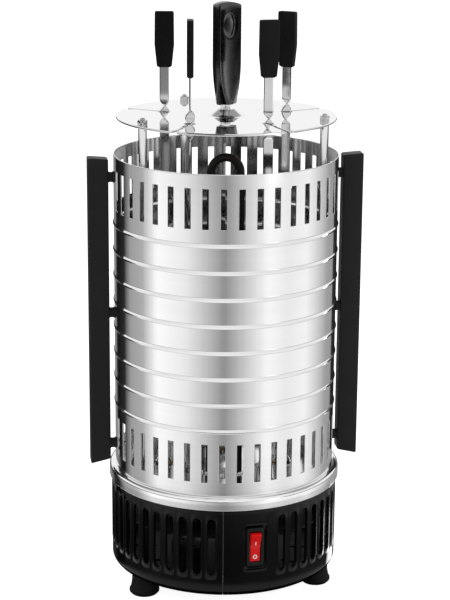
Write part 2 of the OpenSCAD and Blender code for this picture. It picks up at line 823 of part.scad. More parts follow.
// Half section of the pan: rolled rim, wall, shoulder, seat, lip and floor
module pan_section() {
    shoulder_z = drum_z - pan_shoulder_r;
    roll_z = base_top_z + pan_roll_r;
    translate([pan_r - pan_roll_r, roll_z]) circle(r = pan_roll_r);
    translate([pan_r - pan_wall, roll_z]) square([pan_wall, shoulder_z - roll_z]);
    translate([pan_r - pan_shoulder_r, shoulder_z]) quarter_ring(pan_shoulder_r, pan_wall);
    translate([lip_r - pan_wall, drum_z - pan_wall])
        square([pan_r - pan_shoulder_r - lip_r + pan_wall, pan_wall]);
    translate([lip_r - pan_wall, drum_z - pan_wall]) square([pan_wall, lip_h]);
    translate([lip_r - pan_wall, drum_z + lip_h - pan_wall]) quarter_ring(pan_wall, pan_wall / 2);
    translate([lip_r - 2 * pan_wall, pan_z]) square([pan_wall, drum_z + lip_h - pan_wall - pan_z]);
    translate([lip_r - 2 * pan_wall, drum_z + lip_h - pan_wall])
        square([pan_wall * lip_web_share, pan_wall]);
    translate([0, pan_z]) square([lip_r - pan_wall, pan_wall]);
}

lip_web_share = 1.5;

module drip_pan() {
    color("gainsboro") difference() {
        rotate_extrude() pan_section();
        for (az = post_azimuths) at_azimuth(post_r, az, pan_z - over)
            cylinder(d = rod_hole_d, h = pan_wall + 2 * over);
        for (k = skewer_ids) at_azimuth(skewer_ring_r, skewer_az(k), pan_z - over)
            cylinder(d = bush_d, h = pan_wall + 2 * over);
        for (s = [-1, 1]) translate([s * heater_bend_r, 0, pan_z - over])
            cylinder(d = sleeve_d, h = pan_wall + 2 * over);
        for (s = [-1, 1]) translate([0, s * heater_screw_r, pan_z - over])
            cylinder(d = screw_d, h = pan_wall + 2 * over);
    }
}

// Heater

module heater_rod() {
    bend_z = rim_z - heater_drop - heater_d / 2 - heater_bend_r;
    color("#2a2826") {
        for (s = [-1, 1]) translate([s * heater_bend_r, 0, sleeve_z])
            cylinder(d = heater_d, h = bend_z - sleeve_z);
        translate([0, 0, bend_z]) rotate([square_turn, 0, 0]) rotate_extrude(angle = half_turn)
            translate([heater_bend_r, 0]) circle(d = heater_d);
    }
}
sleeve_z = pan_top_z - sleeve_h;
heater_screw_r = heater_flange_r - screw_head_d;

module heater_flange() {
    color("silver") difference() {
        translate([0, 0, pan_top_z]) cylinder(r = heater_flange_r, h = heater_flange_t);
        for (s = [-1, 1]) translate([s * heater_bend_r, 0, pan_top_z - over])
            cylinder(d = heater_d, h = heater_flange_t + 2 * over);
        for (s = [-1, 1]) translate([0, s * heater_screw_r, pan_top_z - over])
            cylinder(d = screw_hole_d, h = heater_flange_t + 2 * over);
    }
}

module heater_screws() {
    color("silver") for (s = [-1, 1]) translate([0, s * heater_screw_r, pan_top_z + heater_flange_t])
        screw(heater_flange_t + pan_wall + screw_head_h);
}

module heater_sleeves() {
    color("white") for (s = [-1, 1]) translate([s * heater_bend_r, 0, 0])
        tube(sleeve_d, heater_d, sleeve_z, sleeve_h);
}

module heater_terminals() {
    color("silver") for (s = [-1, 1]) translate([s * heater_bend_r, 0, sleeve_z - pin_h])
        cylinder(d = pin_d, h = pin_h);
}

// Small parts in the base

module terminal_block() {
    color("ivory") rotate([0, 0, block_turn]) translate([block_mid_x, 0, floor_top_z]) difference() {
        translate([-block_w / 2, -block_l / 2, 0]) cube([block_w, block_l, block_h]);
        for (y = [-1, 0, 1]) translate([0, y * block_l * block_share, block_h / 2])
            cylinder(d = screw_d, h = block_h);
        for (y = [-1, 0, 1]) translate([0, y * block_l * block_share, block_h * block_share])
            rotate([0, square_turn, 0]) cylinder(d = screw_d, h = block_w + 2 * over, center = true);
    }
}
block_turn = 215;
block_share = 1 / 3;
block_mid_x = flange_in_r / 2;

module cord_grommet() {
    color("#141414") at_azimuth(0, half_turn, grommet_z) difference() {
        union() {
            translate([0, -grommet_in_r, 0]) rotate([square_turn, 0, 0])
                cylinder(d = grommet_d, h = base_r - grommet_in_r);
            translate([0, -base_r, 0]) rotate([square_turn, 0, 0])
                cylinder(d1 = grommet_collar_d, d2 = grommet_d, h = grommet_collar_t);
            translate([0, -grommet_in_r, 0]) rotate([-square_turn, 0, 0])
                cylinder(d = grommet_collar_d, h = grommet_collar_t);
        }
        translate([0, over + grommet_collar_t - grommet_in_r, 0]) rotate([square_turn, 0, 0])
            cylinder(d = grommet_bore, h = base_r - grommet_in_r + 2 * grommet_collar_t + 2 * over);
    }
}
grommet_in_r = base_in_r - cup_play - grommet_collar_d * grommet_collar_d / (8 * base_in_r);

// Switch: a framed body with a pocket, and a rocker on two pins, here in the off position

module switch_frame() {
    color("#0c0c0c") at_azimuth(0, switch_az, switch_z) difference() {
        union() {
            translate([0, -switch_face_r, 0]) rotate([square_turn, 0, 0])
                linear_extrude(height = bezel_t) rounded_rect(bezel_w, bezel_h, bezel_t / 2);
            translate([0, switch_body_d - switch_face_r, 0]) rotate([square_turn, 0, 0])
                linear_extrude(height = switch_body_d) square([body_w, body_h], center = true);
            for (x = [-1, 1]) translate([x * body_w * lug_share, switch_body_d - switch_face_r, 0])
                translate([-blade_lug_t / 2, 0, -blade_lug_w / 2])
                    cube([blade_lug_t, blade_lug_h, blade_lug_w]);
        }
        translate([0, pocket_d - rocker_pivot_r, 0]) rotate([square_turn, 0, 0])
            linear_extrude(height = pocket_d + bezel_t + over) square([pocket_w, pocket_h], center = true);
        translate([-rocker_pin_reach, -rocker_pivot_r, 0]) rotate([0, square_turn, 0])
            cylinder(d = rocker_pin_d + 2 * shaft_play, h = 2 * rocker_pin_reach);
    }
}
lug_share = 1 / 4;
blade_lug_t = 0.8;
blade_lug_w = 4.8;
blade_lug_h = 7;
rocker_pivot_r = switch_face_r - rocker_gap;
rocker_pin_reach = rocker_w / 2 + rocker_pin_h;
pocket_d = rocker_r + rocker_gap;

module switch_rocker() {
    color("red") at_azimuth(0, switch_az, switch_z) translate([0, -rocker_pivot_r, 0])
        rotate([rocker_tilt, 0, 0]) {
            intersection() {
                rotate([0, square_turn, 0]) cylinder(r = rocker_r, h = rocker_w, center = true);
                rotate([0, square_turn, 0]) linear_extrude(height = rocker_w, center = true) polygon([
                    [-rocker_r, -rocker_end_out], [0, -rocker_mid_out], [rocker_r, -rocker_end_out],
                    [rocker_r, rocker_mid_out], [-rocker_r, rocker_mid_out]]);
            }
            rotate([0, square_turn, 0])
                cylinder(d = rocker_pin_d, h = 2 * rocker_pin_reach - 2 * shaft_play, center = true);
        }
}

// Drum with its side bars

bar_in_r = drum_r + bar_gap;
bar_out_r = bar_in_r + bar_d;
bar_z = drum_z + bar_low_z;
bar_top_z = rim_z - bar_top_drop - bar_top_rise;
low_slot_z = drum_z + drum_low_slot_z;
top_slot_z = rim_z - drum_top_slot_drop - drum_slot_h;
standoff_share = 1 / 5;
standoff_zs = [low_slot_z + drum_slot_h * standoff_share, (low_slot_z + top_slot_z + drum_slot_h) / 2,
               top_slot_z + drum_slot_h * (1 - standoff_share)];

// True where a side bar's stand-offs take the place of a slot
function slot_is_free(i) =
    let (step = full_turn / drum_slot_count) abs(cos(i * step)) > sin(step / 2);

module drum() {
    color("gainsboro") rotate([0, 0, drum_turn]) difference() {
        rotate_extrude() {
            translate([drum_in_r, drum_z]) square([drum_wall, drum_h]);
            for (i = [0 : bead_count - 1]) intersection() {
                translate([drum_r + bead_out - bead_r, drum_z + bead_first_z + i * bead_pitch])
                    circle(r = bead_r);
                translate([drum_in_r, drum_z]) square([drum_wall + bead_out, drum_h]);
            }
        }
        for (i = [0 : drum_slot_count - 1], z = [low_slot_z, top_slot_z]) if (slot_is_free(i))
            at_azimuth(0, i * full_turn / drum_slot_count, z)
                translate([-drum_slot_w / 2, -drum_r - over, 0])
                    cube([drum_slot_w, drum_wall + 2 * over, drum_slot_h]);
        for (az = [-square_turn, square_turn], z = standoff_zs) at_azimuth(0, az, z)
            translate([0, over - drum_in_r, 0]) rotate([square_turn, 0, 0])
                cylinder(d = bar_screw_d + 2 * rod_play, h = drum_wall + 2 * over);
    }
}

module side_bar(az) {
    low_out_z = bar_z - bar_low_fall;
    color("#181818") rotate([0, 0, drum_turn]) at_azimuth(0, az) difference() {
        union() {
            intersection() {
                translate([0, -(bar_in_r + bar_out_r) / 2, low_out_z])
                    linear_extrude(height = bar_top_z + bar_top_rise - low_out_z)
                        rounded_rect(bar_w, bar_d, bar_round);
                rotate([square_turn, 0, -square_turn]) linear_extrude(height = 2 * bar_w, center = true)
                    polygon([[bar_in_r, bar_z], [bar_out_r, low_out_z],
                             [bar_out_r, bar_top_z + bar_top_rise], [bar_in_r, bar_top_z]]);
            }
            for (z = standoff_zs) translate([0, -drum_r, z]) rotate([square_turn, 0, 0])
                cylinder(d = standoff_d, h = bar_gap + bar_round);
        }
        for (z = standoff_zs) translate([0, over - drum_r, z]) rotate([square_turn, 0, 0])
            cylinder(d = bar_screw_d, h = bar_screw_bite + over);
    }
}
module side_bar_left() { side_bar(-square_turn); }
module side_bar_right() { side_bar(square_turn); }

module side_bar_screws() {
    head_seat_r = sqrt(drum_in_r * drum_in_r - bar_screw_head_d * bar_screw_head_d / 4);
    color("silver") rotate([0, 0, drum_turn]) for (az = [-square_turn, square_turn], z = standoff_zs)
        at_azimuth(0, az, z) translate([0, -head_seat_r, 0]) {
            rotate([-square_turn, 0, 0]) cylinder(d = bar_screw_head_d, h = bar_screw_head_h);
            rotate([square_turn, 0, 0]) cylinder(d = bar_screw_d, h = drum_r - head_seat_r + bar_screw_bite);
        }
}

// Top disc and carry handle

// Slot from the hole out past the rim, with a rounded lead-in on one side
module disc_slot(skew, side) {
    mouth = (disc_r - skewer_ring_r) / cos(skew);
    lead = disc_slot_w / 2;
    rotate([0, 0, skew]) {
        translate([-lead, -mouth - 2 * disc_lead_r]) square([disc_slot_w, mouth + 2 * disc_lead_r]);
        mirror([side < 0 ? 1 : 0, 0]) difference() {
            translate([0, -mouth - 2 * disc_lead_r]) square([lead + disc_lead_r, 3 * disc_lead_r]);
            translate([lead + disc_lead_r, disc_lead_r - mouth]) circle(r = disc_lead_r);
            translate([lead, -mouth + disc_lead_r]) square([disc_lead_r, disc_lead_r]);
        }
    }
}

module top_disc() {
    color("whitesmoke") {
        difference() {
            translate([0, 0, disc_z]) linear_extrude(height = disc_t) difference() {
                circle(r = disc_r);
                circle(r = cone_r);
                for (k = skewer_ids) rotate([0, 0, skewer_az(k)]) translate([0, -skewer_ring_r]) {
                    circle(d = disc_hole_d);
                    disc_slot(slot_skews[k - 1], lead_sides[k - 1]);
                }
            }
            for (az = post_azimuths) at_azimuth(post_r, az, disc_z - over)
                cylinder(d = rod_hole_d, h = disc_t + 2 * over);
        }
        rotate_extrude() polygon([
            [cone_r, disc_z], [cone_r, disc_top_z], [collar_d, cone_top_z], [stud_hole_r, cone_top_z],
            [stud_hole_r, cone_top_z - disc_t], [collar_d, cone_top_z - disc_t]]);
    }
}
stud_hole_r = stud_d / 2 + rod_play;

module handle_collar() {
    color("silver") tube(collar_d, stud_d, cone_top_z, handle_z - cone_top_z);
}

module handle_nut() {
    color("silver") difference() {
        translate([0, 0, nut_z]) cylinder(d = handle_nut_d, h = rod_nut_h, $fn = 6);
        translate([0, 0, nut_z - over]) cylinder(d = stud_d, h = rod_nut_h + 2 * over);
    }
}
nut_z = cone_top_z - disc_t - rod_nut_h;

module handle_stud() {
    color("silver") translate([0, 0, nut_z - rod_tail])
        cylinder(d = stud_d, h = handle_z + stud_bite - nut_z + rod_tail);
}

// Cross-section of the carry handle: a block whose front and back faces are narrower than its middle
module handle_section(w, face) {
    edge = handle_t / 2 - min((w - face) / 2, handle_t / 2 - handle_chamfer);
    polygon([
        [-face / 2, -handle_t / 2], [face / 2, -handle_t / 2], [w / 2, -edge], [w / 2, edge],
        [face / 2, handle_t / 2], [-face / 2, handle_t / 2], [-w / 2, edge], [-w / 2, -edge]]);
}
handle_chamfer = 0.5;
handle_face_w = handle_w - 2 * handle_chamfer;
handle_waist_share = 0.4;

module carry_handle() {
    waist_z = handle_z + handle_h * handle_waist_share;
    color("#0a0a0a") rotate([0, 0, handle_turn]) difference() {
        union() {
            hull() {
                translate([0, 0, handle_z]) linear_extrude(height = handle_chamfer)
                    handle_section(handle_low_w, handle_low_face);
                translate([0, 0, waist_z]) linear_extrude(height = handle_chamfer)
                    handle_section(handle_w, handle_face_w);
            }
            intersection() {
                translate([0, 0, waist_z]) linear_extrude(height = handle_top_z - waist_z)
                    handle_section(handle_w, handle_face_w);
                union() {
                    translate([0, 0, handle_top_z - crown_r]) rotate([square_turn, 0, 0])
                        cylinder(r = crown_r, h = 2 * handle_t, center = true);
                    translate([-handle_w, -handle_t, waist_z])
                        cube([2 * handle_w, 2 * handle_t, handle_top_z - waist_z - crown_r]);
                }
            }
        }
        for (s = [-1, 1]) translate([0, s * (handle_t / 2 - recess_d), recess_z])
            rotate([-s * square_turn, 0, 0]) linear_extrude(height = recess_d + over)
                translate([0, -recess_h / 2]) stadium(recess_w, recess_h);
        translate([0, 0, handle_z - over]) cylinder(d = stud_d, h = stud_bite + over);
    }
}
crown_r = (handle_w * handle_w / 4 + handle_crown * handle_crown) / (2 * handle_crown);
recess_z = handle_top_z - recess_drop;

// Skewers

// Children at a skewer, turned as its blade is
module facing_skewer(k, z = 0) {
    at_azimuth(skewer_ring_r, skewer_az(k), z) rotate([0, 0, blade_turns[k - 1] - skewer_az(k)])
        children();
}

module skewer_blade(k) {
    twist_z = disc_z + disc_t / 2 - twist_h / 2;
    color("lightgray") facing_skewer(k) {
        rotate([square_turn, 0, 0]) linear_extrude(height = blade_t, center = true) polygon([
            [0, blade_low_z], [blade_w / 2, blade_low_z + tip_h], [blade_w / 2, twist_z],
            [-blade_w / 2, twist_z], [-blade_w / 2, blade_low_z + tip_h]]);
        translate([0, 0, twist_z])
            linear_extrude(height = twist_h, twist = full_turn, slices = twist_slices,
                           segments = twist_segments) square([blade_w, blade_t], center = true);
        translate([0, 0, twist_z + twist_h]) linear_extrude(height = blade_top_z - twist_z - twist_h)
            square([blade_w, blade_t], center = true);
    }
}
twist_slices = 24;
twist_segments = 8;

// Outline of a grip: full width above the waist, narrower at its lower end
module grip_outline() {
    waist = grip_h * grip_waist_share;
    polygon([
        [-grip_low_w / 2 + grip_round, 0], [grip_low_w / 2 - grip_round, 0], [grip_low_w / 2, grip_round],
        [grip_w / 2, waist], [grip_w / 2, grip_h - grip_round], [grip_w / 2 - grip_round, grip_h],
        [-grip_w / 2 + grip_round, grip_h], [-grip_w / 2, grip_h - grip_round], [-grip_w / 2, waist],
        [-grip_low_w / 2, grip_round]]);
}

module skewer_grip(k) {
    color("#141414") facing_skewer(k, grip_z) difference() {
        rotate([square_turn, 0, 0]) linear_extrude(height = grip_t, center = true) grip_outline();
        translate([-blade_w / 2, -blade_t / 2, -over])
            cube([blade_w, blade_t, blade_top_z - grip_z + over]);
    }
}

feet();
foot_nuts();
tie_rods();
base_shell_left();
base_shell_right();
base_floor();
floor_screws();
lower_spacers();
gear_plate();
upper_spacers();
lower_bushes();
upper_bushes();
gear_hub();
middle_gear();
gear_retainer();
motor_body();
motor_screws();
motor_shaft();
motor_pinion();
terminal_block();
cord_grommet();
switch_frame();
switch_rocker();
drip_pan();
heater_flange();
heater_screws();
heater_sleeves();
heater_terminals();
heater_rod();
drum();
side_bar_left();
side_bar_right();
side_bar_screws();
posts();
top_disc();
post_nuts();
handle_stud();
handle_collar();
handle_nut();
carry_handle();
for (k = skewer_ids) {
    spindle(k);
    skewer_gear(k);
    skewer_blade(k);
    skewer_grip(k);
}
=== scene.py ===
"""Looks of the upright electric skewer grill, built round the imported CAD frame.

Lengths of the grill are millimetres, repeated from the part's source, and become metres when a mesh is made.
The studio's are metres. Azimuths are degrees from the front, which faces -Y, towards +X.
"""

from __future__ import annotations

import json
import logging
import math
from collections.abc import Callable, Iterable, Sequence
from dataclasses import dataclass
from enum import Enum

import bmesh
import bpy
from mathutils import Matrix, Vector

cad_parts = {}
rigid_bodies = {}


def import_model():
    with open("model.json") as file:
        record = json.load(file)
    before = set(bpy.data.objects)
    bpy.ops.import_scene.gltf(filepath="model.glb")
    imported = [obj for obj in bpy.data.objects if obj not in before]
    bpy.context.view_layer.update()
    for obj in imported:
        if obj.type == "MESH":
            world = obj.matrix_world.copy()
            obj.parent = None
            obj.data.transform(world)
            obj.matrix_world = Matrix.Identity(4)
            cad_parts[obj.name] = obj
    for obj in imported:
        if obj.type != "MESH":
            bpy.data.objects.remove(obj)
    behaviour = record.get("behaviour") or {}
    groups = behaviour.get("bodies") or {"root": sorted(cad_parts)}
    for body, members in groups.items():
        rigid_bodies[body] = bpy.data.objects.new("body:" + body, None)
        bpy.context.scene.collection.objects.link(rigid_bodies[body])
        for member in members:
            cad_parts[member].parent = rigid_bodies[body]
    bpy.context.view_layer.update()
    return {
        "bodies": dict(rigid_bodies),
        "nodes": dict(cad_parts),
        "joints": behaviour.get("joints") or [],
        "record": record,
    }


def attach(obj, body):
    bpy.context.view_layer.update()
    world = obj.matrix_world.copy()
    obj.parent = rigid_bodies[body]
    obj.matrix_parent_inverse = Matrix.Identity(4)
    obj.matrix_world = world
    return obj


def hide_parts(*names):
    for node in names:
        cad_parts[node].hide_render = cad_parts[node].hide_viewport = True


LOG = logging.getLogger("skewer_grill")
MM = 0.001
WELD = 2e-6

# Places that more than one class uses: the posts, the skewers and the switch
POSTS = (-54.0, 75.0, -154.0)
POST_RADIUS = 77.5
SKEWERS = 5
SKEWER_RING = 50.0
SKEWER_FIRST = -105.0
SWITCH_AZIMUTH = 16.2
SWITCH_FACE = 87.9

# A flat point or a pair of numbers, a place, a corner with its rounding, and a socket's name, kind and value
Flat = tuple[float, float]
Place = tuple[float, float, float]
Corner = tuple[float, float, float]
Colour = tuple[float, float, float]
Socket = tuple[str, str, object]

# What the script makes once and the pieces share
EFFECTS: dict[str, Effect] = {}
FORMS: dict[str, Tree] = {}
MATERIALS: dict[str, bpy.types.Material] = {}


# Shapes


def spot(radius: float, azimuth: float, height: float = 0.0) -> Vector:
    """Point at a radius, azimuth and height."""
    turn = math.radians(azimuth)
    return Vector((radius * math.sin(turn), -radius * math.cos(turn), height))


def facing(radius: float, azimuth: float, height: float = 0.0) -> Matrix:
    """Place at a radius and azimuth, whose -Y axis points outwards."""
    return Matrix.Translation(spot(radius, azimuth, height)) @ Matrix.Rotation(math.radians(azimuth), 4, "Z")


def laid_out() -> Matrix:
    """Turns a form's +Z outwards, to -Y, and its +Y upwards."""
    return Matrix.Rotation(math.radians(90), 4, "X")


def skewer_azimuth(k: int) -> float:
    """Azimuth of skewer k, counted from 0."""
    return SKEWER_FIRST + 360 / SKEWERS * k


def spaced(low: float, high: float, steps: int) -> list[float]:
    """Evenly spaced numbers from low to high, both included."""
    return [low + (high - low) * i / steps for i in range(steps + 1)]


def filleted(corners: Sequence[Corner], steps: int = 4, closed: bool = True) -> list[Flat]:
    """Rounds the corners of an outline.

    Args:
        corners: x, y and rounding radius of each corner.
        steps: Segments on each rounded corner.
        closed: Whether the outline returns to its first corner.

    Returns:
        The outline's points.
    """
    made: list[Flat] = []
    count = len(corners)
    for i, (x, y, radius) in enumerate(corners):
        here = Vector((x, y))
        if radius <= 0 or (not closed and i in (0, count - 1)):
            made.append((x, y))
            continue
        back = (Vector(corners[i - 1][:2]) - here).normalized()
        ahead = (Vector(corners[(i + 1) % count][:2]) - here).normalized()
        half = math.acos(max(-1.0, min(1.0, back.dot(ahead)))) / 2
        reach = radius / math.tan(half)
        middle = here + (back + ahead).normalized() * (radius / math.sin(half))
        first, last = here + back * reach - middle, here + ahead * reach - middle
        sweep = math.atan2(first.x * last.y - first.y * last.x, first.dot(last))
        for k in range(steps + 1):
            p = middle + Matrix.Rotation(sweep * k / steps, 2) @ first
            made.append((p.x, p.y))
    return made


def inset(outline: Sequence[Flat], depth: float) -> list[Flat]:
    """Moves a closed anticlockwise outline inwards, mitred at its corners.

    Args:
        outline: Its points.
        depth: How far it moves.

    Returns:
        As many points.
    """
    made, count = [], len(outline)
    for i in range(count):
        here = Vector(outline[i])
        a = (here - Vector(outline[i - 1])).normalized()
        b = (Vector(outline[(i + 1) % count]) - here).normalized()
        normal = Vector((-a.y - b.y, a.x + b.x))
        if normal.length < 1e-9:
            normal = Vector((-a.y, a.x))
        normal.normalize()
        scale = depth / max(0.35, normal.dot(Vector((-a.y, a.x))))
        made.append((here.x + normal.x * scale, here.y + normal.y * scale))
    return made


def circle(radius: float, steps: int, turn: float = 0.0) -> list[Flat]:
    """Points of a circle or regular polygon, anticlockwise from an angle in degrees."""
    angles = [math.radians(turn) + math.tau * i / steps for i in range(steps)]
    return [(radius * math.cos(a), radius * math.sin(a)) for a in angles]


class Plan:
    """Points and faces of a piece, in millimetres, before it becomes a mesh."""

    def __init__(self) -> None:
        """Starts with nothing."""
        self.points: list[Vector] = []
        self.faces: list[tuple[int, ...]] = []

    def add(self, points: Iterable[Sequence[float]]) -> list[int]:
        """Adds points.

        Args:
            points: The points.

        Returns:
            Their numbers.
        """
        start = len(self.points)
        self.points += [Vector(p) for p in points]
        return list(range(start, len(self.points)))

    def bridge(self, low: Sequence[int], high: Sequence[int], closed: bool = True) -> None:
        """Makes quads between two rows of as many points.

        Args:
            low: Numbers of one row.
            high: Numbers of the other.
            closed: Whether they are rings.
        """
        count = len(low)
        for i in range(count if closed else count - 1):
            k = (i + 1) % count
            self.faces.append((low[i], low[k], high[k], high[i]))

    def loft(self, rows: Sequence[Sequence[int]], closed: bool = True, capped: bool = False) -> None:
        """Makes quads between each row and the next.

        Args:
            rows: The rows, in order.
            closed: Whether they are rings.
            capped: Whether the first and the last row get a cap.
        """
        for low, high in zip(rows, rows[1:]):
            self.bridge(low, high, closed)
        if capped:
            self.faces += [tuple(reversed(rows[0])), tuple(rows[-1])]

    def join(self, other: Plan, place: Matrix | None = None) -> Plan:
        """Adds another plan.

        Args:
            other: The plan.
            place: Where it goes, or None.

        Returns:
            This plan.
        """
        start = len(self.points)
        self.points += [place @ p for p in other.points] if place else [p.copy() for p in other.points]
        self.faces += [tuple(start + i for i in face) for face in other.faces]
        return self

    def mesh(self, name: str, material: bpy.types.Material, sharp: float = 35.0) -> bpy.types.Mesh:
        """Makes the mesh, welded and with its faces outwards.

        Args:
            name: Name of the mesh.
            material: Its finish.
            sharp: Edges whose faces meet at more than this, in degrees, stay sharp.

        Returns:
            The mesh, in metres.
        """
        data = bpy.data.meshes.new(name)
        data.from_pydata([p * MM for p in self.points], [], self.faces)
        finish_mesh(data, sharp)
        data.materials.append(material)
        return data

    def piece(self, name: str, material: bpy.types.Material, sharp: float = 35.0) -> bpy.types.Object:
        """Makes the mesh and an object that shows it, at the origin."""
        return show(name, self.mesh(name, material, sharp))


def finish_mesh(data: bpy.types.Mesh, sharp: float) -> None:
    """Welds a mesh, points its faces outwards and shades it smooth.

    Args:
        data: The mesh.
        sharp: Edges that meet at more than this, in degrees, stay sharp.
    """
    work = bmesh.new()
    work.from_mesh(data)
    bmesh.ops.remove_doubles(work, verts=work.verts, dist=WELD)
    bmesh.ops.recalc_face_normals(work, faces=work.faces)
    for face in work.faces:
        face.smooth = True
    work.to_mesh(data)
    work.free()
    data.set_sharp_from_angle(angle=math.radians(sharp))
    data.update()


def show(name: str, data: bpy.types.Mesh) -> bpy.types.Object:
    """Puts a mesh in the scene as an object at the origin.

    Args:
        name: Name of the object.
        data: The mesh.

    Returns:
        The object.
    """
    made = bpy.data.objects.new(name, data)
    bpy.context.scene.collection.objects.link(made)
    return made


def lathe(profile: Sequence[Flat], steps: int = 96, closed: bool = False) -> Plan:
    """Turns a profile about the upright axis.

    Args:
        profile: Radius and height of each point. An open profile starts and ends on the axis.
        steps: Segments round the axis.
        closed: Whether the profile returns to its first point, as a ring's does.

    Returns:
        The plan of the turned form.
    """
    made = Plan()
    rows = [made.add((x, y, z) for x, y in circle(r, steps)) for r, z in profile]
    made.loft(rows + rows[:1] if closed else rows)
    return made


def plate(outline: Sequence[Flat], thickness: float, edge: float, steps: int = 3) -> Plan:
    """Flat piece in the x-y plane, centred on z = 0, with its edges rounded on both faces.

    Args:
        outline: Its outline, anticlockwise.
        thickness: From face to face.
        edge: Radius of its rounded edges.
        steps: Segments on each.

    Returns:
        The plan of the piece.
    """
    made = Plan()
    levels = []
    for k in range(steps + 1):
        turn = math.pi / 2 * k / steps
        levels.append((edge * (1 - math.sin(turn)), -thickness / 2 + edge * (1 - math.cos(turn))))
    levels += [(depth, -z) for depth, z in reversed(levels)]
    rows = [made.add((x, y, z) for x, y in inset(outline, depth)) for depth, z in levels]
    made.loft(rows, capped=True)
    return made


def sweep(path: Sequence[Vector], radius: float, steps: int = 24) -> Plan:
    """Round bar along a path that lies in one upright plane, with flat ends.

    Args:
        path: Points of its middle line.
        radius: Its radius.
        steps: Segments round it.

    Returns:
        The plan of the bar.
    """
    made, rows = Plan(), []
    for i, here in enumerate(path):
        ahead = path[min(i + 1, len(path) - 1)] - path[max(i - 1, 0)]
        side = Vector((0, 1, 0))
        out = ahead.normalized().cross(side)
        ring = [math.tau * k / steps for k in range(steps)]
        rows.append(made.add(here + (out * math.cos(a) + side * math.sin(a)) * radius for a in ring))
    made.loft(rows, capped=True)
    return made


@dataclass(frozen=True)
class Opening:
    """A round-ended upright opening in a wall, or one with four small corners."""

    width: float
    height: float
    middle: Flat = (0.0, 0.0)
    corner: float | None = None

    def outline(self, grow: float, across: int, up: int) -> list[Flat]:
        """Points round the opening, from its lower left, anticlockwise.

        Args:
            grow: How far outside the opening's edge the points lie.
            across: Segments on the lower end, and on the upper one.
            up: Segments on each side.

        Returns:
            The points, as many as a frame of these counts has.
        """
        wide, high = self.width / 2 + grow, self.height / 2 + grow
        u, v = self.middle
        if self.corner is not None:
            radius = self.corner + max(grow, 0)
            return [(u + x, v + y) for x, y in (soft_corner(p, wide, high, radius)
                                               for p in frame_points(-wide, wide, -high, high, across, up))]
        straight = (self.height - self.width) / 2
        made: list[Flat] = []
        for k in range(across):
            a = math.pi + math.pi * k / across
            made.append((u + wide * math.cos(a), v - straight + wide * math.sin(a)))
        made += [(u + wide, v - straight + 2 * straight * k / up) for k in range(up)]
        for k in range(across):
            a = math.pi * k / across
            made.append((u + wide * math.cos(a), v + straight + wide * math.sin(a)))
        made += [(u - wide, v + straight - 2 * straight * k / up) for k in range(up)]
        return made


def soft_corner(point: Flat, wide: float, high: float, radius: float) -> Flat:
    """Pulls a point of a rectangle's edge onto its rounded corner.

    Args:
        point: The point.
        wide: Half the rectangle's width.
        high: Half its height.
        radius: Radius of its corners.

    Returns:
        The point, moved where it is at a corner.
    """
    x, y = point
    cx, cy = wide - radius, high - radius
    if abs(x) <= cx or abs(y) <= cy:
        return point
    middle = Vector((math.copysign(cx, x), math.copysign(cy, y)))
    out = (Vector((x, y)) - middle).normalized() * radius
    return middle.x + out.x, middle.y + out.y


def frame_points(left: float, right: float, low: float, high: float, across: int, up: int) -> list[Flat]:
    """Points round a rectangle, from its lower left, anticlockwise.

    Args:
        left: Its left side.
        right: Its right side.
        low: Its lower side.
        high: Its upper side.
        across: Segments on the lower side, and on the upper one.
        up: Segments on each of the others.

    Returns:
        The points.
    """
    us, vs = spaced(left, right, across), spaced(low, high, up)
    return ([(u, low) for u in us[:-1]] + [(right, v) for v in vs[:-1]]
            + [(u, high) for u in reversed(us[1:])] + [(left, v) for v in reversed(vs[1:])])


# Node groups


class Wiring:
    """Adds nodes to a node tree and joins their sockets."""

    def __init__(self, tree: bpy.types.NodeTree) -> None:
        """Starts with the tree."""
        self.tree = tree

    def node(self, kind: str, **settings: object) -> bpy.types.Node:
        """Adds a node.

        Args:
            kind: Its type.
            **settings: Its properties.

        Returns:
            The node.
        """
        made = self.tree.nodes.new(kind)
        for name, value in settings.items():
            setattr(made, name, value)
        return made

    def wire(self, *pairs: tuple[bpy.types.NodeSocket, bpy.types.NodeSocket]) -> None:
        """Joins the two sockets of each pair."""
        for start, end in pairs:
            self.tree.links.new(start, end)


class Group(Wiring):
    """A node group that is built in the script, with named inputs and outputs."""

    def __init__(self, name: str, kind: str, inputs: Sequence[Socket], outputs: Sequence[Socket]) -> None:
        """Starts a group.

        Args:
            name: Name of the group.
            kind: Its kind of node tree.
            inputs: Name, kind and first value of each input. None leaves the value as it is.
            outputs: The same for each output.
        """
        super().__init__(bpy.data.node_groups.new(name, kind))
        for side, sockets in (("INPUT", inputs), ("OUTPUT", outputs)):
            for label, socket, value in sockets:
                made = self.tree.interface.new_socket(label, in_out=side, socket_type=socket)
                if value is not None:
                    made.default_value = value
        self.given, self.result = self.node("NodeGroupInput"), self.node("NodeGroupOutput")


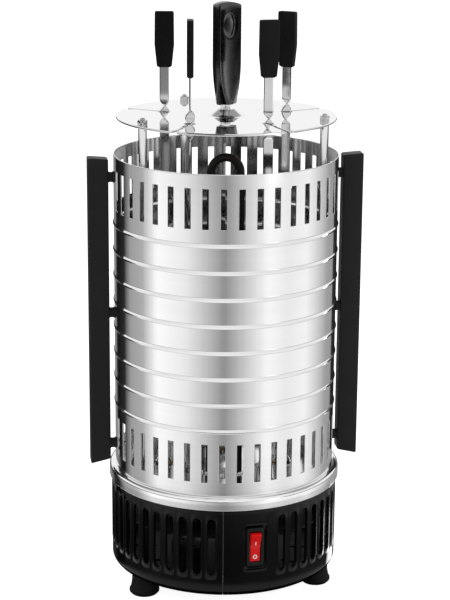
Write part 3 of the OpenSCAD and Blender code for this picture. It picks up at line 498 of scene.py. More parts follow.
class Tree(Group):
    """A Geometry Nodes tree that is turned into a plain mesh."""

    def __init__(self, name: str, inputs: Sequence[tuple[str, str]]) -> None:
        """Starts a tree with its geometry, these inputs and a material.

        Args:
            name: Name of the tree.
            inputs: Name and kind of each input.
        """
        geometry = ("Geometry", "NodeSocketGeometry", None)
        super().__init__(name, "GeometryNodeTree", [
            geometry, *((label, kind, None) for label, kind in inputs),
            ("Material", "NodeSocketMaterial", None)], [geometry])

    def close(self, last: bpy.types.NodeSocket) -> None:
        """Ends the tree in Realize Instances, a weld and Set Material.

        Args:
            last: The geometry that they finish.
        """
        real = self.node("GeometryNodeRealizeInstances")
        weld = self.node("GeometryNodeMergeByDistance")
        weld.inputs["Distance"].default_value = WELD
        paint = self.node("GeometryNodeSetMaterial")
        self.wire((last, real.inputs[0]), (real.outputs[0], weld.inputs[0]),
                  (weld.outputs[0], paint.inputs["Geometry"]),
                  (self.given.outputs["Material"], paint.inputs["Material"]),
                  (paint.outputs[0], self.result.inputs[0]))

    def run(self, name: str, start: bpy.types.Mesh | None, sharp: float,
            **values: object) -> bpy.types.Object:
        """Evaluates the tree on a mesh and gives the result as a plain object.

        Args:
            name: Name of the object.
            start: Mesh that the tree starts from, or None.
            sharp: Edges that meet at more than this angle stay sharp.
            **values: Value of each input, named as the input with _ for a space.

        Returns:
            The new object, at the origin and without a modifier.
        """
        carrier = show(name + "_carrier", start or bpy.data.meshes.new(name + "_start"))
        modifier = carrier.modifiers.new("tree", "NODES")
        modifier.node_group = self.tree
        for item in self.tree.interface.items_tree:
            key = item.name.replace(" ", "_").lower()
            if item.in_out == "INPUT" and key in values:
                modifier[item.identifier] = values[key]
        ready = carrier.evaluated_get(bpy.context.evaluated_depsgraph_get())
        data = bpy.data.meshes.new_from_object(ready)
        data.name = name
        bpy.data.objects.remove(carrier)
        finish_mesh(data, sharp)
        return show(name, data)


def ring_tree() -> Tree:
    """Tree that repeats a piece round the upright axis, with another piece at up to two places.

    Returns:
        The tree. Its inputs are both pieces, how many places there are, and where.
    """
    tree = Tree("ring of pieces", (
        ("Piece", "NodeSocketObject"), ("Other Piece", "NodeSocketObject"), ("Count", "NodeSocketInt"),
        ("First Turn", "NodeSocketFloat"), ("Step", "NodeSocketFloat"), ("Other At", "NodeSocketInt"),
        ("Other Every", "NodeSocketInt")))
    given = tree.given.outputs
    points = tree.node("GeometryNodePoints")
    index = tree.node("GeometryNodeInputIndex")
    turn = tree.node("ShaderNodeMath", operation="MULTIPLY_ADD")
    angle = tree.node("ShaderNodeMath", operation="RADIANS")
    axis = tree.node("ShaderNodeCombineXYZ")
    euler = tree.node("FunctionNodeEulerToRotation")
    phase = tree.node("ShaderNodeMath", operation="MODULO")
    other = tree.node("FunctionNodeCompare", data_type="FLOAT", operation="EQUAL")
    usual = tree.node("FunctionNodeBooleanMath", operation="NOT")
    both = tree.node("GeometryNodeJoinGeometry")
    tree.wire((given["Count"], points.inputs["Count"]),
              (index.outputs[0], turn.inputs[0]), (given["Step"], turn.inputs[1]),
              (given["First Turn"], turn.inputs[2]), (turn.outputs[0], angle.inputs[0]),
              (angle.outputs[0], axis.inputs["Z"]), (axis.outputs[0], euler.inputs[0]),
              (index.outputs[0], phase.inputs[0]), (given["Other Every"], phase.inputs[1]),
              (phase.outputs[0], other.inputs[0]), (given["Other At"], other.inputs[1]),
              (other.outputs[0], usual.inputs[0]))
    for name, mask in (("Piece", usual), ("Other Piece", other)):
        source = tree.node("GeometryNodeObjectInfo", transform_space="ORIGINAL")
        source.inputs["As Instance"].default_value = True
        place = tree.node("GeometryNodeInstanceOnPoints")
        tree.wire((given[name], source.inputs["Object"]), (points.outputs[0], place.inputs["Points"]),
                  (mask.outputs[0], place.inputs["Selection"]),
                  (source.outputs["Geometry"], place.inputs["Instance"]),
                  (euler.outputs[0], place.inputs["Rotation"]), (place.outputs[0], both.inputs[0]))
    tree.close(both.outputs[0])
    return tree


def twist_tree() -> Tree:
    """Tree that twists a flat strip about its own upright axis, between two heights.

    Returns:
        The tree. Its inputs are the two heights and the number of turns.
    """
    tree = Tree("twisted strip", (("Twist Start", "NodeSocketFloat"), ("Twist End", "NodeSocketFloat"),
                                  ("Turns", "NodeSocketFloat")))
    given = tree.given.outputs
    place = tree.node("GeometryNodeInputPosition")
    parts = tree.node("ShaderNodeSeparateXYZ")
    share = tree.node("ShaderNodeMapRange", clamp=True)
    turns = tree.node("ShaderNodeMath", operation="MULTIPLY")
    angle = tree.node("ShaderNodeMath", operation="MULTIPLY")
    angle.inputs[1].default_value = math.tau
    turned = tree.node("ShaderNodeVectorRotate", rotation_type="Z_AXIS")
    moved = tree.node("GeometryNodeSetPosition")
    tree.wire((place.outputs[0], parts.inputs[0]), (parts.outputs["Z"], share.inputs["Value"]),
              (given["Twist Start"], share.inputs["From Min"]),
              (given["Twist End"], share.inputs["From Max"]),
              (share.outputs[0], turns.inputs[0]), (given["Turns"], turns.inputs[1]),
              (turns.outputs[0], angle.inputs[0]), (place.outputs[0], turned.inputs["Vector"]),
              (angle.outputs[0], turned.inputs["Angle"]), (given["Geometry"], moved.inputs["Geometry"]),
              (turned.outputs[0], moved.inputs["Position"]))
    tree.close(moved.outputs[0])
    return tree


def ring_of(name: str, piece: Plan, material: bpy.types.Material, count: int, first: float = 0.0,
            step: float | None = None, other: Plan | None = None, other_at: int = -1,
            other_every: int = 1000, sharp: float = 35.0) -> bpy.types.Object:
    """Repeats a plan round the axis by the ring tree.

    Args:
        name: Name of the object.
        piece: What is repeated.
        material: Its finish.
        count: How many places there are.
        first: Azimuth of the first place.
        step: Angle from one place to the next, or None for a full ring.
        other: Plan that stands in some places instead.
        other_at: First of those places.
        other_every: Places from one of them to the next.
        sharp: Edges that meet at more than this angle stay sharp.

    Returns:
        The ring as one object.
    """
    sources = [p.piece(f"{name}_source_{i}", material, sharp) for i, p in enumerate((piece, other or piece))]
    made = FORMS["ring"].run(name, None, sharp, piece=sources[0], other_piece=sources[1], count=count,
                             first_turn=float(first), step=float(step if step is not None else 360 / count),
                             other_at=other_at, other_every=other_every, material=material)
    for source in sources:
        bpy.data.objects.remove(source)
    return made


# Finishes


class Lines(Enum):
    """Which way the fine lines of drawn or brushed metal run, as a stretch along x, y and z."""

    NONE = (0.0, 0.0, 0.0)
    ROUND = (6.0, 6.0, 900.0)
    UPRIGHT = (700.0, 700.0, 6.0)


class Effect(Group):
    """A shader node group that finishes use. It reads a vector and puts out numbers."""

    def __init__(self, name: str, inputs: Sequence[Socket], outputs: Sequence[str]) -> None:
        """Starts a group with a vector input, these inputs and these outputs."""
        super().__init__(name, "ShaderNodeTree", [("Vector", "NodeSocketVector", None), *inputs],
                         [(label, "NodeSocketFloat", None) for label in outputs])

    def noise(self, scale: float | None, detail: float = 2.0, distortion: float = 0.0) -> bpy.types.Node:
        """Adds a noise.

        Args:
            scale: Its scale, or None where an input gives it.
            detail: Its detail.
            distortion: Its distortion.

        Returns:
            The node.
        """
        made = self.node("ShaderNodeTexNoise")
        for label, value in (("Scale", scale), ("Detail", detail), ("Distortion", distortion)):
            if value is not None:
                made.inputs[label].default_value = value
        return made


def grain_effect() -> Effect:
    """Fine moulded grain: a height, and a tint that varies slowly.

    Returns:
        The group, with its fineness as an input.
    """
    made = Effect("moulded grain", [("Fineness", "NodeSocketFloat", 1500.0)], ["Height", "Tint"])
    given, result = made.given.outputs, made.result.inputs
    fine, slow = made.noise(None, 3.0), made.noise(60.0)
    pits = made.node("ShaderNodeTexVoronoi")
    mix = made.node("ShaderNodeMath", operation="MULTIPLY_ADD")
    mix.inputs[1].default_value = 0.6
    made.wire(*((given["Vector"], node.inputs["Vector"]) for node in (fine, pits, slow)),
              *((given["Fineness"], node.inputs["Scale"]) for node in (fine, pits)),
              (pits.outputs["Distance"], mix.inputs[0]), (fine.outputs["Fac"], mix.inputs[2]),
              (mix.outputs[0], result["Height"]), (slow.outputs["Fac"], result["Tint"]))
    return made


def drawn_effect() -> Effect:
    """Fine lines of drawn or brushed metal, along the axis with the least stretch.

    Returns:
        The group, with its stretch as an input.
    """
    made = Effect("drawn lines", [("Stretch", "NodeSocketVector", (6.0, 6.0, 900.0))], ["Lines", "Streaks"])
    given, scale = made.given.outputs, made.node("ShaderNodeVectorMath", operation="MULTIPLY")
    made.wire((given["Vector"], scale.inputs[0]), (given["Stretch"], scale.inputs[1]))
    for node, label in ((made.noise(1.0, 5.0), "Lines"), (made.noise(0.12), "Streaks")):
        made.wire((scale.outputs[0], node.inputs["Vector"]), (node.outputs["Fac"], made.result.inputs[label]))
    return made


def handling_effect() -> Effect:
    """Soft patches where a surface was wiped or held.

    Returns:
        The group, with its scale as an input.
    """
    made = Effect("handling marks", [("Scale", "NodeSocketFloat", 18.0)], ["Marks"])
    given, patch = made.given.outputs, made.noise(None, 4.0, 0.8)
    scale = made.node("ShaderNodeMapRange", clamp=True)
    scale.inputs["From Min"].default_value, scale.inputs["From Max"].default_value = 0.35, 0.72
    made.wire((given["Vector"], patch.inputs["Vector"]), (given["Scale"], patch.inputs["Scale"]),
              (patch.outputs["Fac"], scale.inputs["Value"]), (scale.outputs[0], made.result.inputs["Marks"]))
    return made


def wear_and_highlight_effect() -> Effect:
    """Edges a little lighter where the surface turns sharply: partly wear, partly a painted highlight.

    Returns:
        The group, with its softness as an input.
    """
    made = Effect("worn and highlighted edges", [("Softness", "NodeSocketFloat", 0.06)], ["Rub"])
    edge = 0.53
    shape = made.node("ShaderNodeNewGeometry")
    top = made.node("ShaderNodeMath", operation="ADD")
    top.inputs[1].default_value = edge
    scale = made.node("ShaderNodeMapRange", clamp=True)
    scale.inputs["From Min"].default_value = edge
    made.wire((made.given.outputs["Softness"], top.inputs[0]), (top.outputs[0], scale.inputs["From Max"]),
              (shape.outputs["Pointiness"], scale.inputs["Value"]),
              (scale.outputs[0], made.result.inputs["Rub"]))
    return made


def seam_highlight_effect() -> Effect:
    """A narrow band along the plane x = 0, where the two base shells meet: a painted highlight for the light
    that their edges catch.

    Returns:
        The group, with half the band's width as an input.
    """
    made = Effect("painted seam highlight", [("Half Width", "NodeSocketFloat", 0.0003)], ["Seam"])
    axes = made.node("ShaderNodeSeparateXYZ")
    away = made.node("ShaderNodeMath", operation="ABSOLUTE")
    near = made.node("ShaderNodeMath", operation="LESS_THAN")
    made.wire((made.given.outputs["Vector"], axes.inputs[0]), (axes.outputs["X"], away.inputs[0]),
              (away.outputs[0], near.inputs[0]), (made.given.outputs["Half Width"], near.inputs[1]),
              (near.outputs[0], made.result.inputs["Seam"]))
    return made


class Paint(Wiring):
    """A new material whose nodes can be added to."""

    def __init__(self, name: str, values: dict[str, object] | None = None) -> None:
        """Starts with the usual shader.

        Args:
            name: Name of the material.
            values: First values of the shader's inputs.
        """
        self.material = bpy.data.materials.new(name)
        self.material.use_nodes = True
        super().__init__(self.material.node_tree)
        self.shader = self.tree.nodes["Principled BSDF"]
        for label, value in (values or {}).items():
            self.shader.inputs[label].default_value = value

    def light(self) -> bpy.types.Node:
        """Puts an emission in place of the shader.

        Returns:
            The emission's node.
        """
        self.tree.nodes.remove(self.shader)
        made = self.node("ShaderNodeEmission")
        self.wire((made.outputs[0], self.tree.nodes["Material Output"].inputs["Surface"]))
        return made


@dataclass(frozen=True)
class Finish:
    """A finish of this grill: plain values for the shader, and how much of each effect it shows."""

    name: str
    colour: Colour
    roughness: float
    metallic: float = 0.0
    specular: float = 0.5
    coat: float = 0.0
    # Emission that lifts a colour as painted light; only the rocker has it.
    painted_glow: float = 0.0
    tint: Colour | None = None
    grain: float = 0.0
    grain_depth: float = 0.00002
    lines: Lines = Lines.NONE
    line_shine: float = 0.06
    line_depth: float = 0.0
    marks: float = 0.0
    mark_scale: float = 18.0
    # Lightens sharp edges: partly wear, partly a painted highlight.
    rub: float = 0.0
    # Lifts the colour in a band along the base's seam: a painted highlight.
    seam: float = 0.0
    subsurface: float = 0.0

    def material(self) -> bpy.types.Material:
        """Builds the material from the finish's values and the shared effects.

        Returns:
            The material.
        """
        paint = Paint(self.name, {
            "Base Color": (*self.colour, 1.0), "Roughness": self.roughness, "Metallic": self.metallic,
            "Specular IOR Level": self.specular, "Coat Weight": self.coat, "Emission Strength": self.painted_glow,
            "Emission Color": (*self.colour, 1.0), "Subsurface Weight": self.subsurface})
        inputs = paint.shader.inputs
        if self.subsurface:
            inputs["Subsurface Radius"].default_value = (0.004, 0.0004, 0.0004)
        place = paint.node("ShaderNodeTexCoord").outputs["Object"]

        def effect(key: str, **values: object) -> bpy.types.Node:
            """Places an effect's group.

            Args:
                key: Which effect.
                **values: Values of its inputs.

            Returns:
                The group's node.
            """
            node = paint.node("ShaderNodeGroup", node_tree=EFFECTS[key].tree)
            paint.wire((place, node.inputs["Vector"]))
            for label, value in values.items():
                node.inputs[label].default_value = value
            return node

        rough: list[tuple[bpy.types.NodeSocket, float]] = []
        tones: list[tuple[bpy.types.NodeSocket, Colour]] = []
        heights: list[tuple[bpy.types.NodeSocket, float]] = []
        if self.grain:
            grain = effect("grain", Fineness=self.grain)
            heights.append((grain.outputs["Height"], self.grain_depth))
            tones.append((grain.outputs["Tint"], self.tint or mixed(self.colour, 1.35)))
        if self.lines is not Lines.NONE:
            drawn = effect("drawn", Stretch=self.lines.value)
            rough.append((drawn.outputs["Lines"], self.line_shine))
            tones.append((drawn.outputs["Streaks"], self.tint or mixed(self.colour, 0.93)))
            if self.line_depth:
                heights.append((drawn.outputs["Lines"], self.line_depth))
        if self.marks:
            rough.append((effect("handling", Scale=self.mark_scale).outputs["Marks"], self.marks))
        # Lighter sharp edges: partly wear, partly a painted highlight.
        if self.rub:
            tones.append((effect("rub").outputs["Rub"], mixed(self.colour, 1.0, self.rub)))
        # A lighter band along the seam: a painted highlight.
        if self.seam:
            tones.append((effect("seam").outputs["Seam"], mixed(self.colour, 1.0, self.seam)))
        last = None
        for source, amount in rough:
            step = paint.node("ShaderNodeMath", operation="MULTIPLY_ADD")
            step.inputs[1].default_value = amount
            step.inputs[2].default_value = max(0.02, self.roughness - amount / 2)
            paint.wire((source, step.inputs[0]), (step.outputs[0], inputs["Roughness"]))
            if last is not None:
                paint.wire((last, step.inputs[2]))
            last = step.outputs[0]
        last = None
        for source, colour in tones:
            step = paint.node("ShaderNodeMix", data_type="RGBA")
            step.inputs[6].default_value, step.inputs[7].default_value = (*self.colour, 1.0), (*colour, 1.0)
            paint.wire((source, step.inputs[0]), (step.outputs[2], inputs["Base Color"]))
            if last is not None:
                paint.wire((last, step.inputs[6]))
            last = step.outputs[2]
        last = None
        for source, depth in heights:
            bump = paint.node("ShaderNodeBump")
            bump.inputs["Strength"].default_value, bump.inputs["Distance"].default_value = 1.0, depth
            paint.wire((source, bump.inputs["Height"]), (bump.outputs[0], inputs["Normal"]))
            if last is not None:
                paint.wire((last, bump.inputs["Normal"]))
            last = bump.outputs[0]
        return paint.material


def mixed(colour: Colour, scale: float, lift: float = 0.0) -> Colour:
    """A colour made lighter or darker, and lifted."""
    return tuple(min(1.0, c * scale + lift) for c in colour)


FINISHES = {
    "drum": Finish("polished_drum_steel", (0.85, 0.85, 0.85), 0.1, 1.0, lines=Lines.ROUND, line_shine=0.05,
                   line_depth=0.000003, marks=0.03),
    "disc": Finish("mirror_disc_steel", (0.84, 0.84, 0.84), 0.04, 1.0, marks=0.03, mark_scale=30.0),
    "pan": Finish("drip_pan_steel", (0.9, 0.9, 0.9), 0.12, 1.0, lines=Lines.ROUND, line_shine=0.05,
                  marks=0.06, mark_scale=40.0),
    "chrome": Finish("bright_rod_steel", (0.80, 0.80, 0.80), 0.06, 1.0, marks=0.04, mark_scale=120.0,
                     lines=Lines.ROUND, line_shine=0.03),
    "blade": Finish("skewer_blade_steel", (0.66, 0.66, 0.66), 0.09, 1.0, lines=Lines.UPRIGHT, line_shine=0.06,
                    marks=0.04, mark_scale=90.0),
    # The bars and grips get lighter sharp edges: partly wear, partly a painted highlight.
    "bar": Finish("satin_black_bar", (0.014, 0.014, 0.0145), 0.4, specular=0.14, grain=2600.0, marks=0.1,
                  grain_depth=0.00003, rub=0.015),
    "grip": Finish("satin_black_grip", (0.005, 0.005, 0.0052), 0.4, specular=0.12, grain=3000.0, marks=0.1,
                   grain_depth=0.00002, rub=0.015),
    "handle": Finish("gloss_black_handle", (0.002, 0.002, 0.0022), 0.15, specular=1.0, grain=400.0,
                     marks=0.06, grain_depth=0.000006, mark_scale=60.0),
    # The base's seam value paints a highlight along the seam of its shells.
    "base": Finish("gloss_black_base", (0.0025, 0.0025, 0.0028), 0.1, specular=0.2, grain=500.0, marks=0.05,
                   grain_depth=0.000004, mark_scale=45.0, seam=0.08),
    "rubber": Finish("foot_rubber", (0.006, 0.006, 0.006), 0.6, specular=0.15, grain=1400.0,
                     grain_depth=0.00008),
    "moulded": Finish("moulded_black", (0.006, 0.006, 0.006), 0.45, specular=0.2, grain=2200.0,
                      grain_depth=0.00003),
    # The rocker is off and unlit, so its glow is painted light that brightens its red.
    "rocker": Finish("red_rocker", (0.6, 0.003, 0.004), 0.2, specular=0.25, painted_glow=0.2, subsurface=0.15,
                     marks=0.06, mark_scale=200.0, tint=(0.8, 0.012, 0.01), grain=300.0,
                     grain_depth=0.000003),
    "mark": Finish("white_mark", (0.9, 0.9, 0.9), 0.4, grain=2000.0, grain_depth=0.000005),
    "heater": Finish("heater_sheath", (0.012, 0.011, 0.0105), 0.5, specular=0.25, grain=900.0, marks=0.15,
                     grain_depth=0.00004, tint=(0.022, 0.018, 0.016), mark_scale=60.0),
    "nut": Finish("bright_nut_steel", (0.5, 0.5, 0.5), 0.14, 1.0, marks=0.05, mark_scale=200.0),
    "zinc": Finish("zinc_steel", (0.6, 0.61, 0.62), 0.32, 1.0, grain=700.0, grain_depth=0.000006, marks=0.12,
                   mark_scale=70.0),
    # Dark finish for the gear plate and spacers inside the base: painted shade, so that the vents look as
    # dark as the inside of the base.
    "dark_zinc": Finish("black_zinc_steel", (0.03, 0.03, 0.032), 0.35, 0.6, grain=700.0, marks=0.12,
                        grain_depth=0.000006, mark_scale=70.0),
    "bronze": Finish("sintered_bronze", (0.55, 0.37, 0.2), 0.38, 1.0, grain=1800.0, grain_depth=0.00002),
    # The gears are dark as painted shade for the inside of the base.
    "nylon": Finish("black_gear_nylon", (0.02, 0.02, 0.021), 0.45, specular=0.3, grain=900.0, marks=0.1,
                    grain_depth=0.00001),
    # The motor can is darkened as painted shade for the inside of the base.
    "motor": Finish("motor_can", (0.12, 0.12, 0.125), 0.34, 0.8, lines=Lines.ROUND, marks=0.1),
    "ceramic": Finish("sleeve_ceramic", (0.82, 0.81, 0.77), 0.35, coat=0.2, grain=900.0, grain_depth=0.00001),
}


# Studio


@dataclass(frozen=True)
class Card:
    """An upright card that only reflections see, turned to the grill: a bright one or a black one."""

    name: str
    azimuth: float
    reach: float
    height: float
    width: float
    rise: float
    strength: float


@dataclass(frozen=True)
class Lamp:
    """A square soft lamp that points at the grill and that reflections don't show."""

    name: str
    place: Place
    size: float
    watts: float


@dataclass
class Studio:
    """Camera, floor, world, lamps, and a light tent that only reflections see.

    The tent's bands give light by azimuth, each share says how much of its bands is seen at a height, and
    its top adds light by height alone.
    """

    camera_place: Place = (0.0, -1.413, 0.615)
    camera_drop: float = 15.22
    camera_roll: float = -0.44
    lens: float = 110.9
    sensor: float = 36.0
    clip: Flat = (0.05, 50.0)
    floor_size: float = 12.0
    floor_colour: float = 0.9
    floor_lift: float = 0.92
    world_light: float = 0.4
    tent_radius: float = 2.2
    tent_low: float = -2.4
    tent_high: float = 3.2
    tent_bands: tuple[Flat, ...] = (
        (-180, 0.3), (-150, 0.26), (-138, 0.02), (-126, 0.0), (-113, 0.4), (-92, 0.5), (-72, 1.2), (-40, 1.0),
        (0, 0.33), (44, 1.14), (66, 1.0), (90, 1.1), (128, 0.4), (180, 0.3))
    tent_share: tuple[Flat, ...] = (
        (-2.4, 0.0), (-1.06, 0.0), (-1.0, 0.2), (-0.775, 0.2), (-0.75, 1.0), (-0.005, 1.0), (0.01, 0.0),
        (3.2, 0.0))
    upper_bands: tuple[Flat, ...] = (
        (-180, 0.1), (-150, 0.02), (-64, 0.02), (-50, 0.1), (-36, 0.0), (-8, 0.0), (2, 0.3), (22, 0.9),
        (38, 1.05), (44, 3.2), (51, 3.3), (56, 1.0), (60, 0.3), (64, 0.05), (74, 0.0), (120, 0.3), (180, 0.1))
    upper_share: tuple[Flat, ...] = (
        (-2.4, 0.0), (-0.005, 0.0), (0.015, 1.0), (0.12, 1.0), (0.2, 0.4), (0.3, 0.3), (0.42, 0.0),
        (3.2, 0.0))
    tent_top: tuple[Flat, ...] = (
        (-2.4, 0.9), (-1.06, 0.9), (-1.0, 0.0), (0.3, 0.0), (0.42, 1.0), (1.3, 1.0), (1.9, 0.4), (3.2, 0.35))
    lid_bands: tuple[Flat, ...] = ((-180, 0.0), (-100, 0.0), (-80, 0.55), (80, 0.55), (100, 0.0), (180, 0.0))
    lid_share: tuple[Flat, ...] = ((-2.4, 0.0), (1.4, 0.0), (1.9, 1.0), (3.2, 1.0))
    shade_radius: float = 0.135
    shade_low: float = -0.02
    cards: tuple[Card, ...] = (
        Card("vent_card", azimuth=146.0, reach=2.02, height=-0.84, width=0.7, rise=0.22, strength=4.5),
        Card("handle_card", azimuth=-18.0, reach=0.2, height=0.49, width=0.12, rise=0.13, strength=0.0))
    lamps: tuple[Lamp, ...] = (Lamp("key_lamp", (-0.9, -1.1, 1.6), size=1.2, watts=9.0),
                               Lamp("fill_lamp", (1.2, -0.9, 1.2), size=1.2, watts=5.0))
    lamp_aim: Place = (0.0, 0.0, 0.25)

    def camera(self) -> None:
        """Places the camera where the photograph was taken from."""
        data = bpy.data.cameras.new("photo_camera")
        data.lens, data.sensor_width = self.lens, self.sensor
        data.clip_start, data.clip_end = self.clip
        made = bpy.data.objects.new("photo_camera", data)
        look = Matrix.Rotation(math.radians(90 - self.camera_drop), 4, "X")
        made.matrix_world = (Matrix.Translation(self.camera_place) @ look
                             @ Matrix.Rotation(math.radians(-self.camera_roll), 4, "Z"))
        bpy.context.scene.collection.objects.link(made)
        bpy.context.scene.camera = made

    def world(self) -> None:
        """White for the camera and in metal and glass, and a plain even light for the rest."""
        made = bpy.data.worlds.new("studio_air")
        bpy.context.scene.world = made
        made.use_nodes = True
        air = Wiring(made.node_tree)
        back = air.tree.nodes["Background"]
        back.inputs["Color"].default_value = (1, 1, 1, 1)
        level = air.node("ShaderNodeMapRange")
        level.inputs["To Min"].default_value = self.world_light
        level.inputs["To Max"].default_value = 1.0
        air.wire((self.seen(air), level.inputs["Value"]), (level.outputs[0], back.inputs["Strength"]))

    @staticmethod
    def seen(wiring: Wiring) -> bpy.types.NodeSocket:
        """Adds a value that is 1 for camera, glossy and transmission rays, else 0.

        Args:
            wiring: Where its nodes go.

        Returns:
            The value.
        """
        rays = wiring.node("ShaderNodeLightPath")
        total = rays.outputs["Is Camera Ray"]
        for name in ("Is Glossy Ray", "Is Transmission Ray"):
            step = wiring.node("ShaderNodeMath", operation="MAXIMUM")
            wiring.wire((total, step.inputs[0]), (rays.outputs[name], step.inputs[1]))
            total = step.outputs[0]
        return total

    def floor(self) -> None:
        """Pale floor that keeps the grill's shadow. Reflections see the tent in its place."""
        half = self.floor_size / 2
        data = bpy.data.meshes.new("floor")
        data.from_pydata([(-half, -half, 0), (half, -half, 0), (half, half, 0), (-half, half, 0)], [],
                         [(0, 1, 2, 3)])
        paint = Paint("studio_floor", {
            "Base Color": (*[self.floor_colour] * 3, 1), "Roughness": 0.9, "Specular IOR Level": 0.0,
            "Emission Color": (1, 1, 1, 1)})
        lift = paint.node("ShaderNodeMath", operation="MULTIPLY")
        lift.inputs[1].default_value = self.floor_lift
        paint.wire((self.seen(paint), lift.inputs[0]),
                   (lift.outputs[0], paint.shader.inputs["Emission Strength"]))
        data.materials.append(paint.material)
        made = show("studio_floor", data)
        made.visible_glossy = False

    @staticmethod
    def ramp(paint: Paint, stops: Sequence[Flat]) -> bpy.types.Node:
        """Colour ramp with these stops as grey levels, spread over their own first to last place.

        Args:
            paint: Where the node is added.
            stops: Place and level of each stop, in order.

        Returns:
            The ramp's node, with its factor fed from 0 to 1.
        """
        made = paint.node("ShaderNodeValToRGB")
        points = made.color_ramp.elements
        low, high = stops[0][0], stops[-1][0]
        for place, _ in stops[1:-1]:
            points.new((place - low) / (high - low))
        for point, (_, level) in zip(points, stops):
            point.color = (level, level, level, 1)
        return made

    @staticmethod
    def reflected_only(made: bpy.types.Object) -> None:
        """Leaves a stage object to reflections.

        Args:
            made: The object.
        """
        for rays in ("camera", "diffuse", "shadow", "transmission", "volume_scatter"):
            setattr(made, f"visible_{rays}", False)

    def tent(self) -> None:
        """Round light tent whose light varies round it and with height, which metal and gloss reflect."""
        wide, low, high = (size / MM for size in (self.tent_radius, self.tent_low, self.tent_high))
        plan = lathe([(0.0, high), (wide, high), (wide, low)], 128)
        paint = Paint("light_tent")
        light = paint.light()
        parts = paint.node("ShaderNodeSeparateXYZ")
        angle = paint.node("ShaderNodeMath", operation="ARCTAN2")
        front = paint.node("ShaderNodeMath", operation="MULTIPLY")
        front.inputs[1].default_value = -1.0
        turn, height = paint.node("ShaderNodeMapRange"), paint.node("ShaderNodeMapRange")
        for node, first, last in ((turn, -math.pi, math.pi), (height, self.tent_low, self.tent_high)):
            node.inputs["From Min"].default_value, node.inputs["From Max"].default_value = first, last
        total = self.ramp(paint, self.tent_top)
        paint.wire((paint.node("ShaderNodeTexCoord").outputs["Object"], parts.inputs[0]),
                   (parts.outputs["X"], angle.inputs[0]), (parts.outputs["Y"], front.inputs[0]),
                   (front.outputs[0], angle.inputs[1]), (angle.outputs[0], turn.inputs["Value"]),
                   (parts.outputs["Z"], height.inputs["Value"]), (height.outputs[0], total.inputs[0]))
        for stops in ((self.tent_bands, self.tent_share), (self.upper_bands, self.upper_share),
                      (self.lid_bands, self.lid_share)):
            bands, share = (self.ramp(paint, s) for s in stops)
            step = paint.node("ShaderNodeVectorMath", operation="MULTIPLY_ADD")
            paint.wire((turn.outputs[0], bands.inputs[0]), (height.outputs[0], share.inputs[0]),
                       *((s.outputs[0], step.inputs[i]) for i, s in enumerate((bands, share, total))))
            total = step
        paint.wire((total.outputs[0], light.inputs["Color"]))
        self.reflected_only(plan.piece("light_tent", paint.material))

    def shade(self) -> None:
        """Dark patch under the grill, which the base's rounded foot reflects as its own shadow."""
        plan = Plan()
        plan.faces.append(tuple(plan.add((x, y, self.shade_low / MM)
                                         for x, y in circle(self.shade_radius / MM, 48))))
        paint = Paint("under_shade", {"Base Color": (0, 0, 0, 1), "Specular IOR Level": 0.0})
        self.reflected_only(plan.piece("under_shade", paint.material))

    def place_card(self, card: Card) -> None:
        """Makes a card at its place.

        Args:
            card: The card.
        """
        wide, high = card.width / MM / 2, card.rise / MM / 2
        plan = Plan()
        plan.faces.append(tuple(plan.add((x, 0, z) for x, z in ((-wide, -high), (wide, -high),
                                                                (wide, high), (-wide, high)))))
        paint = Paint(card.name)
        paint.light().inputs["Strength"].default_value = card.strength
        place = facing(card.reach / MM, card.azimuth, card.height / MM)
        self.reflected_only(Plan().join(plan, place).piece(card.name, paint.material))

    def place_lamp(self, lamp: Lamp) -> None:
        """Makes a lamp at its place.

        Args:
            lamp: The lamp.
        """
        data = bpy.data.lights.new(lamp.name, "AREA")
        data.size, data.energy = lamp.size, lamp.watts
        made = bpy.data.objects.new(lamp.name, data)
        made.location = lamp.place
        made.rotation_mode = "QUATERNION"
        made.rotation_quaternion = (Vector(self.lamp_aim) - Vector(lamp.place)).to_track_quat("-Z", "Y")
        made.visible_glossy = False
        bpy.context.scene.collection.objects.link(made)

    def build(self) -> None:
        """Makes everything that isn't part of the grill."""
        bpy.context.scene.view_settings.view_transform = "Standard"
        self.camera()
        self.world()
        self.floor()
        self.tent()
        for card in self.cards:
            self.place_card(card)
        self.shade()
        for lamp in self.lamps:
            self.place_lamp(lamp)
        LOG.info("studio ready")


# Grill


@dataclass
class Dresser:
    """Shared ways to put a made piece in place of CAD nodes."""

    def dress(self, piece: bpy.types.Object, body: str, slot: str, *nodes: str) -> None:
        """Gives a piece its body, and hides the CAD nodes that it stands for.

        Args:
            piece: The piece.
            body: Body that it rides on.
            slot: Its slot. Not used.
            *nodes: CAD nodes that it stands for.
        """
        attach(piece, body)
        if nodes:
            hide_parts(*nodes)
        LOG.info("%s rides on %s", piece.name, body)


